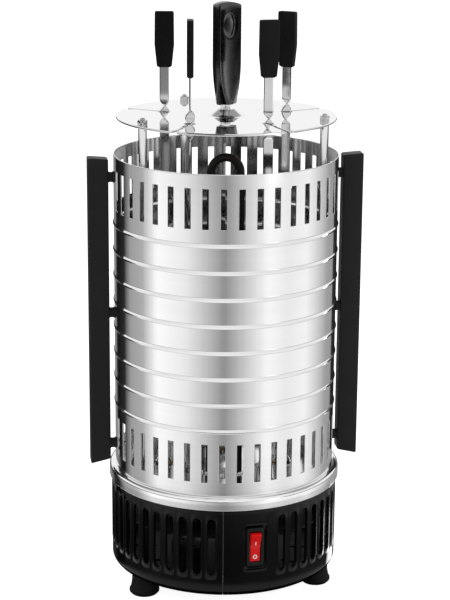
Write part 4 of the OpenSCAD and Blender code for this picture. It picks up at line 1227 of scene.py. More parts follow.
@dataclass
class Drum(Dresser):
    """Slotted and beaded drum."""

    radius: float = 87.5
    wall: float = 0.8
    low: float = 98.0
    height: float = 251.0
    turn: float = 8.2
    places: int = 40
    slot_width: float = 4.9
    slot_height: float = 30.6
    slot_lows: tuple[float, float] = (11.0, 209.2)
    bead_first: float = 52.4
    bead_pitch: float = 20.64
    beads: int = 8
    bead_out: float = 0.8
    bead_half: float = 1.6
    bead_hem: float = 0.3
    lip: float = 0.15

    def bead(self, z: float) -> float:
        """How far a bead pushes the sheet out.

        Args:
            z: Height above the drum's bottom.

        Returns:
            The distance, 0 away from the beads.
        """
        nearest = min(range(self.beads), key=lambda i: abs(z - self.bead_first - i * self.bead_pitch))
        share = abs(z - self.bead_first - nearest * self.bead_pitch) / self.bead_half
        return self.bead_out * (1 + math.cos(math.pi * share)) / 2 if share < 1 else 0.0

    def levels(self) -> list[float]:
        """Heights of the rows, with a few more at each bead and slot end.

        Returns:
            The heights above the drum's bottom, in order.
        """
        made = [self.wall / 2, self.wall / 2 + self.bead_hem, 3, 7]
        for low in self.slot_lows:
            high = low + self.slot_height
            made += [low - self.lip, low, *spaced(low, high, 4)[1:-1], high, high + self.lip]
        for i in range(self.beads):
            middle = self.bead_first + i * self.bead_pitch
            made += [middle + self.bead_half * k / 3 for k in range(-3, 4)]
            made += [middle - self.bead_half - self.bead_hem, middle + self.bead_half + self.bead_hem]
            made.append(middle + self.bead_pitch / 2)
        made += [self.height - 6, self.height - self.wall / 2 - self.bead_hem, self.height - self.wall / 2]
        return sorted(set(made))

    def panel(self, pierced: bool) -> Plan:
        """One part in forty of the drum's wall.

        Args:
            pierced: Whether it has its two slots.

        Returns:
            The plan, facing the front.
        """
        plan = Plan()
        edge = math.degrees(self.slot_width / 2 / self.radius)
        lip = math.degrees(self.lip / self.radius)
        half = 180 / self.places
        right = [edge, edge + lip, (half + edge) / 2, half]
        columns = [*(-a for a in reversed(right)), 0, *right]
        levels = self.levels()
        lows = self.slot_lows if pierced else ()
        windows = [(levels.index(z), levels.index(z + self.slot_height)) for z in lows]
        sunk = set()
        for first, last in windows:
            sunk |= {(row, c) for row in range(first, last + 1) for c in (3, 5)}
            sunk |= {(row, 4) for row in (first, last)}
        outer, inner = [], []
        for row, z in enumerate(levels):
            out = self.radius + self.bead(z)
            outer.append(plan.add(spot(out - (self.lip if (row, c) in sunk else 0), a, self.low + z)
                                  for c, a in enumerate(columns)))
            inner.append(plan.add(spot(out - self.wall, a, self.low + z) for a in columns))
        for side in (outer, inner):
            for row, (under, over) in enumerate(zip(side, side[1:])):
                for c in range(len(columns) - 1):
                    if c in (3, 4) and any(a <= row < b for a, b in windows):
                        continue
                    plan.faces.append((under[c], under[c + 1], over[c + 1], over[c]))
        for first, last in windows:
            loop = ([(row, 3) for row in range(first, last)] + [(last, 3), (last, 4)]
                    + [(row, 5) for row in range(last, first, -1)] + [(first, 5), (first, 4)])
            plan.bridge([outer[r][c] for r, c in loop], [inner[r][c] for r, c in loop])
        half_wall = self.wall / 2
        for row, way in ((0, -1), (len(levels) - 1, 1)):
            steps = [outer[row]]
            for k in (1, 2, 3):
                a = math.pi * k / 4
                steps.append(plan.add(spot(self.radius - half_wall + half_wall * math.cos(a), azimuth,
                                           self.low + levels[row] + way * half_wall * math.sin(a))
                                      for azimuth in columns))
            plan.loft([*steps, inner[row]], closed=False)
        return plan

    def build(self) -> None:
        """Makes the drum of forty panels round the axis, plain where the side bars are."""
        made = ring_of("slotted_drum", self.panel(True), MATERIALS["drum"], self.places, self.turn,
                       other=self.panel(False), other_at=self.places // 4, other_every=self.places // 2,
                       sharp=30.0)
        self.dress(made, "drum", "drum_steel", "drum")


@dataclass
class Bars(Dresser):
    """The drum's two side bars. A stand-off's profile gives its radius at each distance from the axis."""

    turn: float = Drum.turn
    near: float = 92.0
    far: float = 108.0
    half_width: float = 7.0
    corner: float = 1.6
    edge: float = 1.3
    near_ends: Flat = (103.6, 346.5)
    far_ends: Flat = (99.9, 347.7)
    straight: Flat = (112.0, 336.0)
    standoff: tuple[Flat, ...] = (
        (0, 87.5), (4.6, 87.5), (4.6, 88.1), (4.0, 88.8), (4.0, 91.0), (4.8, 92.2), (0, 92.2))
    heights: tuple[float, ...] = (115.12, 223.4, 331.68)

    def bar(self, side: int) -> Plan:
        """One side bar with its three stand-offs.

        Args:
            side: -1 for the left, 1 for the right.

        Returns:
            The plan, at its place.
        """
        plan, wide = Plan(), self.half_width
        outline = filleted([(x, y, self.corner) for x, y in ((-wide, self.near), (wide, self.near),
                                                             (wide, self.far), (-wide, self.far))], 4)

        def end(pick: int, turn: float) -> list[int]:
            """A ring of a rounded end.

            Args:
                pick: 0 for the lower end, 1 for the upper.
                turn: Angle round the edge, 0 at the slanted face.

            Returns:
                Numbers of its points.
            """
            rise = (self.far_ends[pick] - self.near_ends[pick]) / (self.far - self.near)
            drop = self.edge * (1 - math.cos(turn))
            return plan.add((x, -y, self.near_ends[pick] + (y - self.near) * rise + (-drop if pick else drop))
                            for x, y in inset(outline, self.edge * (1 - math.sin(turn))))

        turns = spaced(0, math.pi / 2, 4)
        lower, upper = [end(0, t) for t in turns], [end(1, t) for t in turns]
        middle = [plan.add((x, -y, z) for x, y in outline) for z in spaced(*self.straight, 8)]
        plan.loft([*lower, *middle, *reversed(upper)], capped=True)
        for z in self.heights:
            plan.join(lathe(self.standoff, 40), Matrix.Translation((0, 0, z)) @ laid_out())
        return Plan().join(plan, Matrix.Rotation(math.radians(self.turn + 90 * side), 4, "Z"))

    def build(self) -> None:
        """Makes both bars."""
        for side, name in ((-1, "left"), (1, "right")):
            made = self.bar(side).piece(f"carry_bar_{name}", MATERIALS["bar"], 40)
            self.dress(made, "drum", "satin_black", f"side_bar_{name}")


@dataclass
class Pan(Dresser):
    """Steel drip pan: rolled rim, shoulder, seat and lip, and a floor."""

    reach: float = 92.4
    profile: tuple[Corner, ...] = (
        (0.0, 90.8, 0), (84.6, 90.8, 1.2), (84.6, 101.0, 0.35), (86.2, 101.0, 0.6), (86.2, 98.0, 0.5),
        (92.4, 98.0, 3.0), (92.4, 92.2, 2.0), (92.9, 90.0, 1.1), (92.4, 88.0, 0.9), (90.4, 88.0, 0.9),
        (90.4, 90.0, 0.7), (91.6, 91.4, 0.6), (91.6, 97.2, 2.2), (85.4, 97.2, 0.5), (85.4, 90.0, 1.0),
        (0.0, 90.0, 0))

    def build(self) -> None:
        """Makes the pan by turning its profile."""
        profile = [(min(r, self.reach), z) for r, z in filleted(self.profile, 5, closed=False)]
        made = lathe(profile, 192).piece("drip_tray", MATERIALS["pan"], 40)
        self.dress(made, "grill", "pan_steel", "drip_pan")


@dataclass
class Base(Dresser):
    """Gloss black base in two shells, with lipped vents, and three feet."""

    radius: float = 90.5
    wall: float = 2.5
    low: float = 16.5
    height: float = 71.5
    rounding: float = 5.0
    flange: float = 68.0
    band: Flat = (13.5, 68.0)
    vent: Opening = Opening(6.0, 46.2, (0.0, 40.7))
    vent_step: float = 7.25
    left_first: float = 5.8
    left_count: int = 24
    right_first: float = 30.1
    right_count: int = 20
    seam: float = 0.004
    seam_width: float = 0.3
    seam_depth: float = 0.4
    across: int = 10
    up: int = 14
    switch_azimuth: float = SWITCH_AZIMUTH
    switch_half: float = 10.275
    recess: Opening = Opening(17.2, 36.5, (0.0, 39.9), 1.2)
    recess_face: float = SWITCH_FACE
    foot: tuple[Corner, ...] = (
        (0.0, 3.0, 0), (3.8, 3.0, 0), (3.8, 0.0, 0.4), (10.0, 0.0, 1.2), (12.0, 2.0, 1.2), (12.0, 4.2, 0.8),
        (11.0, 5.2, 0.6), (9.9, 11.0, 6.0), (9.75, 16.5, 0.3), (0.0, 16.5, 0))

    def wall_point(self, u: float, z: float, sunk: float, azimuth: float) -> Vector:
        """Point of the wall at an arc length from an azimuth, sunk below the outer face."""
        return spot(self.radius - sunk, azimuth + math.degrees(u / self.radius), self.low + z)

    def edge_rows(self) -> tuple[list[Flat], list[Flat]]:
        """Radius and height of the rows under and over the band with the vents.

        Returns:
            Both sets of rows, from outside to inside.
        """
        r, t, q, inner = self.radius, self.wall, self.rounding, self.radius - self.wall
        arc = [math.pi / 2 * k / 7 for k in range(8)]
        under = [(r, self.band[0])]
        under += [(r - q + q * math.cos(a), q - q * math.sin(a)) for a in arc]
        rim = self.flange
        under += [(rim + 0.6, 0.0), (rim, 0.6), (rim, t - 0.6), (rim + 0.6, t)]
        q -= t
        under += [(inner - q + q * math.cos(a), t + q - q * math.sin(a)) for a in reversed(arc)]
        under.append((inner, self.band[0]))
        top = self.height
        over = [(r, self.band[1]), (r, top - 0.8), (r - 0.25, top - 0.2), (r - 0.8, top), (inner + 0.4, top),
                (inner, top - 0.4), (inner, self.band[1])]
        return under, over

    def strip(self, plan: Plan, azimuths: Sequence[float]) -> None:
        """Adds the rows under and over the band.

        Args:
            plan: The plan that gets them.
            azimuths: Where their points are.
        """
        for rows in self.edge_rows():
            made = [plan.add(spot(r, a, self.low + z) for a in azimuths) for r, z in rows]
            plan.loft(made, closed=False)

    def sheet(self, plan: Plan, azimuths: Sequence[float], sunk: Callable[[float, float], float]) -> None:
        """Adds a face of the band.

        Args:
            plan: The plan that gets it.
            azimuths: Where its points are.
            sunk: Depth below the outer face at an azimuth and a height.
        """
        rows = [plan.add(spot(self.radius - sunk(a, z), a, self.low + z) for a in azimuths)
                for z in spaced(*self.band, self.up)]
        plan.loft(rows, closed=False)

    def vent_panel(self) -> Plan:
        """The wall round one vent: a rolled lip outside, the vent's own wall, and the inner face.

        Returns:
            The plan, facing the front.
        """
        plan = Plan()
        half = math.radians(self.vent_step / 2) * self.radius
        frame = frame_points(-half, half, *self.band, self.across, self.up)
        rings: list[list[Vector]] = [[self.wall_point(u, z, 0, 0) for u, z in frame]]
        for grow, sunk in ((1.2, 0.0), (1.05, -0.08), (0.88, -0.2), (0.66, -0.26), (0.42, -0.18), (0.15, 0.1),
                           (0.0, 0.5), (0.0, self.wall)):
            edge = self.vent.outline(grow, self.across, self.up)
            rings.append([self.wall_point(u, z, sunk, 0) for u, z in edge])
        rings.append([self.wall_point(u, z, self.wall, 0) for u, z in frame])
        plan.loft([plan.add(ring) for ring in rings])
        turn = self.vent_step / 2
        self.strip(plan, spaced(-turn, turn, self.across))
        return plan

    def blank(self, first: float, last: float, steps: int) -> Plan:
        """Plain wall between two azimuths, with a narrow column at both ends for a seam's groove.

        Args:
            first: Azimuth that it starts at.
            last: Azimuth that it ends at.
            steps: Segments between the narrow columns.

        Returns:
            The plan, at its place.
        """
        plan, edge = Plan(), math.copysign(self.seam_width, last - first)
        azimuths = [first, *spaced(first + edge, last - edge, steps), last]
        self.sheet(plan, azimuths, lambda a, z: 0.0)
        self.sheet(plan, azimuths, lambda a, z: self.wall)
        self.strip(plan, azimuths)
        return plan

    def seam_face(self, azimuth: float) -> Plan:
        """The flat face of a shell at a seam.

        Args:
            azimuth: Where it is.

        Returns:
            The plan, at its place.
        """
        plan, (under, over) = Plan(), self.edge_rows()
        zs = spaced(*self.band, self.up)
        outer = [(self.radius, z) for z in zs[1:-1]]
        inner = [(self.radius - self.wall, z) for z in reversed(zs[1:-1])]
        loop = list(reversed(under)) + outer + over + inner
        plan.faces.append(tuple(plan.add(spot(r, azimuth, self.low + z) for r, z in loop)))
        return plan

    def switch_panel(self) -> Plan:
        """The wall round the switch's flat-floored recess.

        Returns:
            The plan, at its place.
        """
        plan, middle = Plan(), self.switch_azimuth
        half = math.radians(self.switch_half) * self.radius
        place = facing(0, middle)
        back = place.inverted()
        frame = frame_points(-half, half, *self.band, self.across, self.up)
        rings = [[self.wall_point(u, z, 0, middle) for u, z in frame]]
        for grow, sunk in ((2.2, 0.0), (0.7, 0.0), (0.25, 0.12), (0.0, 0.5)):
            edge = self.recess.outline(grow, self.across, self.up)
            rings.append([self.wall_point(u, z, sunk, middle) for u, z in edge])
        for depth, shrink in ((0.3, 0.0), (0.0, 0.35)):
            floor = []
            for u, z in self.recess.outline(-shrink, self.across, self.up):
                here = back @ self.wall_point(u, z, 0, middle)
                floor.append(place @ Vector((here.x, -self.recess_face - depth, here.z)))
            rings.append(floor)
        rows = [plan.add(ring) for ring in rings]
        plan.loft(rows)
        plan.faces.append(tuple(rows[-1]))
        azimuths = spaced(middle - self.switch_half, middle + self.switch_half, self.across)
        wide, high = self.recess.width / 2 + self.wall, self.recess.height / 2 + self.wall

        def sunk(azimuth: float, z: float) -> float:
            """Depth of the inner face, which passes behind the recess.

            Args:
                azimuth: Azimuth of a point.
                z: Its height above the shell's bottom.

            Returns:
                Its depth below the outer face.
            """
            away = math.radians(azimuth - middle)
            behind = abs(away) * self.radius < wide and abs(z - self.recess.middle[1]) < high
            return self.radius - (self.recess_face - self.wall) / math.cos(away) if behind else self.wall

        self.sheet(plan, azimuths, sunk)
        self.strip(plan, azimuths)
        return plan

    def ease_seams(self, work: bmesh.types.BMesh) -> None:
        """Draws the outer edges at both seams in, so that the shells meet in a shallow groove.

        Args:
            work: The shell's mesh.
        """
        core, floor = (self.radius - self.rounding) * MM, (self.low + self.rounding) * MM
        for vertex in work.verts:
            x, y, z = vertex.co
            azimuth = abs(math.degrees(math.atan2(x, -y)))
            if min(azimuth, 180 - azimuth) > self.seam + 0.001:
                continue
            r = math.hypot(x, y)
            away = Vector((r - min(r, core), z - max(z, floor)))
            if away.length > (self.rounding - 1) * MM:
                away.length -= self.seam_depth * MM
                r_new = min(r, core) + away.x
                vertex.co = (x * r_new / r, y * r_new / r, max(z, floor) + away.y)

    def shell(self, name: str, count: int, first: float, step: float, rest: Sequence[Plan]) -> None:
        """One shell: its vents by the ring tree, with the plain parts welded on.

        Args:
            name: Its side.
            count: How many vents it has.
            first: Azimuth of the first.
            step: Angle from one to the next.
            rest: Its plain parts.
        """
        made = ring_of(f"base_{name}", self.vent_panel(), MATERIALS["base"], count, first, step)
        work = bmesh.new()
        work.from_mesh(made.data)
        for plan in rest:
            extra = plan.mesh("rest", MATERIALS["base"])
            work.from_mesh(extra)
            bpy.data.meshes.remove(extra)
        bmesh.ops.remove_doubles(work, verts=work.verts, dist=WELD * 2)
        self.ease_seams(work)
        work.to_mesh(made.data)
        work.free()
        finish_mesh(made.data, 40)
        self.dress(made, "grill", "gloss_black", f"base_shell_{name}")

    def shells(self) -> None:
        """Both shells."""
        half = self.vent_step / 2
        left_end = -self.left_first - self.vent_step * (self.left_count - 1) - half
        self.shell("left", self.left_count, -self.left_first, -self.vent_step, [
            self.blank(-self.left_first + half, -self.seam, 3), self.blank(-180 + self.seam, left_end, 4),
            self.seam_face(-self.seam), self.seam_face(-180 + self.seam)])
        right_end = self.right_first + self.vent_step * (self.right_count - 1) + half
        self.shell("right", self.right_count, self.right_first, self.vent_step, [
            self.blank(self.seam, self.switch_azimuth - self.switch_half, 6), self.switch_panel(),
            self.blank(right_end, 180 - self.seam, 8), self.seam_face(self.seam),
            self.seam_face(180 - self.seam)])

    def feet(self) -> None:
        """Three flared rubber feet with a ring groove."""
        foot = lathe(filleted(self.foot, 4, closed=False), 64)
        plan = Plan()
        for azimuth in POSTS:
            plan.join(foot, facing(POST_RADIUS, azimuth))
        self.dress(plan.piece("rubber_feet", MATERIALS["rubber"], 40), "grill", "foot_rubber", "feet")

    def build(self) -> None:
        """Makes the shells and the feet."""
        self.shells()
        self.feet()


@dataclass
class Switch(Dresser):
    """Rocker switch: a frame with a pocket, and a red rocker with its two marks."""

    azimuth: float = SWITCH_AZIMUTH
    middle: float = 56.4
    face: float = SWITCH_FACE
    pivot: float = 87.6
    tilt: float = 11.0
    rim: Opening = Opening(14.0, 31.4, corner=1.1)
    rim_out: float = 1.8
    pocket: Opening = Opening(8.8, 24.6, corner=0.3)
    pocket_depth: float = 11.0
    body: Opening = Opening(12.0, 27.8, corner=0.8)
    body_depth: float = 16.0
    lug: tuple[Corner, ...] = ((-2.4, 0, 0), (2.4, 0, 0), (2.4, 7, 1.4), (-2.4, 7, 1.4))
    lug_side: float = 3.3
    rocker_half: float = 4.1
    rocker_reach: float = 11.5
    fold: float = 1.4
    rise: float = 2.0
    rocker_end: tuple[Flat, ...] = ((11.9, 2.9), (11.95, 1.6), (11.6, -0.8), (10.6, -1.4))
    pin: tuple[Flat, ...] = ((0, -5.45), (1.0, -5.45), (1.15, -5.3), (1.15, 5.3), (1.0, 5.45), (0, 5.45))
    mark_lean: float = 10.5
    stroke: tuple[Corner, ...] = ((-0.4, -1.7, 0.2), (0.4, -1.7, 0.2), (0.4, 1.7, 0.2), (-0.4, 1.7, 0.2))
    stroke_at: Flat = (3.6, 1.99)
    loop: tuple[Flat, ...] = ((1.0, -0.12), (1.75, -0.12), (1.75, 0.12), (1.0, 0.12))
    loop_at: Flat = (-8.0, 2.74)

    def frame(self) -> Plan:
        """The frame's rim with its pocket, and the body behind it.

        Returns:
            The plan, at its place.
        """
        plan, across, up = Plan(), 8, 12
        rim, pocket, top, deep = self.rim, self.pocket, self.rim_out, self.body_depth
        front = [plan.add((x, -out, z) for x, z in shape.outline(grow, across, up)) for shape, grow, out in (
            (rim, 0.0, 0.0), (rim, 0.0, top - 0.6), (rim, -0.2, top - 0.2), (rim, -0.6, top),
            (pocket, 0.5, top), (pocket, 0.12, top - 0.12), (pocket, 0.0, top - 0.5),
            (pocket, 0.0, -self.pocket_depth))]
        back = [plan.add((x, y, z) for x, z in self.body.outline(grow, across, up))
                for grow, y in ((0.0, 0.0), (0.0, deep - 0.6), (-0.6, deep))]
        for rows in (front, [front[0], *back]):
            plan.loft(rows)
            plan.faces.append(tuple(rows[-1]))
        lug = plate(filleted(self.lug, 3), 0.8, 0.1, 1)
        for x in (-self.lug_side, self.lug_side):
            plan.join(lug, Matrix(((0, 0, 1, x), (0, 1, 0, deep - 0.1), (1, 0, 0, 0), (0, 0, 0, 1))))
        return Plan().join(plan, facing(self.face, self.azimuth, self.middle))

    def rocker_place(self) -> Matrix:
        """Where the rocker stands, tilted to off."""
        return (facing(self.pivot, self.azimuth, self.middle)
                @ Matrix.Rotation(math.radians(self.tilt), 4, "X"))

    def rocker(self) -> Plan:
        """The rocker: two faces that meet in a low fold, round ends and two pins.

        Returns:
            The plan, with its pins along the x axis.
        """
        half, reach = self.rocker_half, self.rocker_reach
        section = [(z, self.fold + self.rise * (abs(z) / reach) ** 1.25) for z in spaced(-reach, reach, 12)]
        section += [*self.rocker_end, *((-z, out) for z, out in reversed(self.rocker_end))]
        plan, edge = Plan(), [(half, 0.45), (half - 0.13, 0.13), (half - 0.45, 0.0)]
        plan.loft([plan.add((x, -out, z) for z, out in inset(section[::-1], depth))
                   for x, depth in [*((-x, depth) for x, depth in edge), *reversed(edge)]], capped=True)
        plan.join(lathe(self.pin, 24), Matrix.Rotation(math.radians(90), 4, "Y"))
        return plan

    def marks(self) -> Plan:
        """The two marks, I above and O below, just proud of the rocker's faces.

        Returns:
            The plan, on the rocker's own axes.
        """
        plan = Plan()
        lean = math.radians(self.mark_lean)
        stroke, loop = plate(filleted(self.stroke, 2), 0.24, 0.06, 1), lathe(self.loop, 32, closed=True)
        for form, (z, out), turn in ((stroke, self.stroke_at, lean), (loop, self.loop_at, -lean)):
            plan.join(form, Matrix.Translation((0, -out, z)) @ Matrix.Rotation(turn, 4, "X") @ laid_out())
        return plan

    def build(self) -> None:
        """Makes the frame, the rocker and its marks."""
        self.dress(self.frame().piece("rocker_frame", MATERIALS["moulded"], 30), "grill", "moulded_black",
                   "switch_frame")
        place = self.rocker_place()
        rocker = Plan().join(self.rocker(), place).piece("power_rocker", MATERIALS["rocker"], 40)
        self.dress(rocker, "rocker", "rocker_red", "switch_rocker")
        marks = Plan().join(self.marks(), place).piece("rocker_marks", MATERIALS["mark"], 40)
        self.dress(marks, "rocker", "rocker_red")


@dataclass
class Top(Dresser):
    """Top disc with its keyholes and raised middle, and the posts with their nuts."""

    disc_low: float = 376.8
    disc_top: float = 378.6
    radius: float = 85.3
    cone: Flat = (13.6, 383.6)
    crown: float = 6.6
    stud_hole: float = 2.7
    ring: float = SKEWER_RING
    hole: float = 4.65
    slot: float = 1.3
    lead: float = 9.0
    skews: tuple[float, ...] = (-9.0, 16.0, -16.0, 9.0, 0.0)
    sides: tuple[int, ...] = (-1, -1, 1, 1, 1)
    post: tuple[Corner, ...] = ((2.3, 90.8, 0), (3.25, 90.8, 0.3), (3.25, 376.8, 0.3), (2.3, 376.8, 0))
    nut_across: float = 7.6
    nut_height: float = 3.2
    nut_bore: float = 2.1
    rod: tuple[Flat, ...] = (
        (0.0, 1.6), (2.0, 1.6), (2.0, 378.0), (2.0, 381.9), (1.7, 382.1), (2.0, 382.3), (2.0, 382.6),
        (1.7, 382.8), (1.9, 383.0), (1.4, 383.4), (0.0, 383.4))

    def keyhole(self, k: int) -> list[Flat]:
        """Outline of a keyhole from the disc's rim in to the hole and back, clockwise seen from above.

        Args:
            k: Number of the skewer, from 0.

        Returns:
            Points in the disc's plane, from the mouth's one corner to its other.
        """
        skew, side = self.skews[k], self.sides[k]
        place = facing(0, skewer_azimuth(k)) @ Matrix.Translation((0, -self.ring, 0)) @ Matrix.Rotation(
            math.radians(skew), 4, "Z")
        mouth = (self.radius - self.ring) / math.cos(math.radians(skew))
        start = math.asin(self.slot / self.hole)
        hole = [(self.hole * math.sin(a), -self.hole * math.cos(a))
                for a in spaced(start, math.tau - start, 28)]
        lead = [(self.slot + self.lead * (1 - math.cos(a)), -mouth + self.lead * (1 - math.sin(a)))
                for a in spaced(0, math.radians(80), 10)]
        plain = [(-self.slot, -mouth + 0.8), (-self.slot - 0.25, -mouth + 0.25)]
        if side > 0:
            right, left = lead, plain
        else:
            right, left = [(-x, y) for x, y in plain], [(-x, y) for x, y in lead]
        made = [place @ Vector((x, y, 0)) for x, y in (*reversed(right), *hole, *left)]
        return [(p.x, p.y) for p in made]

    def outline(self) -> list[Flat]:
        """The disc's outline, anticlockwise seen from above, in through each keyhole and out again.

        Returns:
            The outline's points.
        """
        trim, gap, arc = 0.05, 0.004, math.radians(1.5)
        loops = [[p for p in reversed(self.keyhole(k)) if math.hypot(*p) < self.radius - trim]
                 for k in range(SKEWERS)]
        loops.sort(key=lambda loop: math.atan2(loop[0][1], loop[0][0]))
        made: list[Flat] = []
        for i, loop in enumerate(loops):
            made += loop
            a, b = (math.atan2(y, x) for x, y in (loop[-1], loops[(i + 1) % len(loops)][0]))
            b += math.tau if b < a else 0
            made += [(self.radius * math.cos(t), self.radius * math.sin(t))
                     for t in spaced(a + gap, b - gap, max(2, int((b - a) / arc)))]
        return made

    def disc(self) -> None:
        """The disc with rounded edges, and its raised middle."""
        plan, thick = Plan(), self.disc_top - self.disc_low
        outline = self.outline()
        edge = [(0.5, 0.0), (0.15, 0.15), (0.0, 0.5)]
        levels = edge + [(d, thick - z) for d, z in reversed(edge)]
        rows = [plan.add((x, y, self.disc_low + z) for x, y in inset(outline, d)) for d, z in levels]
        plan.loft(rows)
        (wide, top), bore = self.cone, self.stud_hole
        cone = filleted([(wide, self.disc_top, 0), (wide - 0.3, self.disc_top, 9.0), (self.crown, top, 0.8),
                         (bore, top, 0.2), (bore, top - thick, 0), (self.crown - 0.2, top - thick, 0),
                         (wide - 0.6, self.disc_low, 3.0), (wide, self.disc_low, 0)], 6, closed=False)
        plan.loft([plan.add((x, y, z) for x, y in circle(r, 96)) for r, z in cone])
        data = plan.mesh("mirror_disc", MATERIALS["disc"])
        work = bmesh.new()
        work.from_mesh(data)
        for z in (self.disc_low * MM, self.disc_top * MM):
            rim = [e for e in work.edges if len(e.link_faces) == 1
                   and all(abs(v.co.z - z) < 1e-6 for v in e.verts)]
            bmesh.ops.triangle_fill(work, edges=rim, use_beauty=True)
        loose = [v for v in work.verts if not v.link_faces]
        bmesh.ops.delete(work, geom=loose, context="VERTS")
        work.to_mesh(data)
        work.free()
        finish_mesh(data, 12)
        self.dress(show("mirror_disc", data), "grill", "disc_steel", "top_disc")

    def nut(self) -> Plan:
        """Hexagonal nut with its corners turned off, standing on z = 0.

        Returns:
            The plan of the nut.
        """
        plan, steps, reach, height = Plan(), 36, self.nut_across / 2, self.nut_height
        rows = []
        for grow, z in ((0.55, 0.0), (0.0, 0.45), (0.0, height - 0.45), (0.55, height)):
            ring = []
            for i in range(steps):
                a = math.tau * i / steps
                flat = reach * math.cos(math.pi / 6) / math.cos((a % (math.pi / 3)) - math.pi / 6)
                r = min(flat, reach - grow * 0.8) if grow else flat
                ring.append((r * math.cos(a), r * math.sin(a), z))
            rows.append(plan.add(ring))
        rows += [plan.add((x, y, z) for x, y in circle(self.nut_bore, steps)) for z in (height, 0.0)]
        plan.loft([*rows, rows[0]])
        return plan

    def posts(self) -> None:
        """Three bright posts, each with a nut and its rod's threaded end above the disc."""
        post, nut, plain = lathe(filleted(self.post, 3), 48, closed=True), self.nut(), lathe(self.rod, 32)
        posts, nuts, rods = Plan(), Plan(), Plan()
        for azimuth in POSTS:
            posts.join(post, facing(POST_RADIUS, azimuth))
            nuts.join(nut, facing(POST_RADIUS, azimuth, self.disc_top))
            rods.join(plain, facing(POST_RADIUS, azimuth))
        self.dress(posts.piece("bright_posts", MATERIALS["chrome"], 40), "grill", "bright_steel", "posts")
        self.dress(nuts.piece("post_cap_nuts", MATERIALS["nut"], 30), "grill", "bright_steel", "post_nuts")
        self.dress(rods.piece("tie_bars", MATERIALS["zinc"], 40), "grill", "zinc_steel", "tie_rods")

    def build(self) -> None:
        """Makes the disc and the posts."""
        self.disc()
        self.posts()


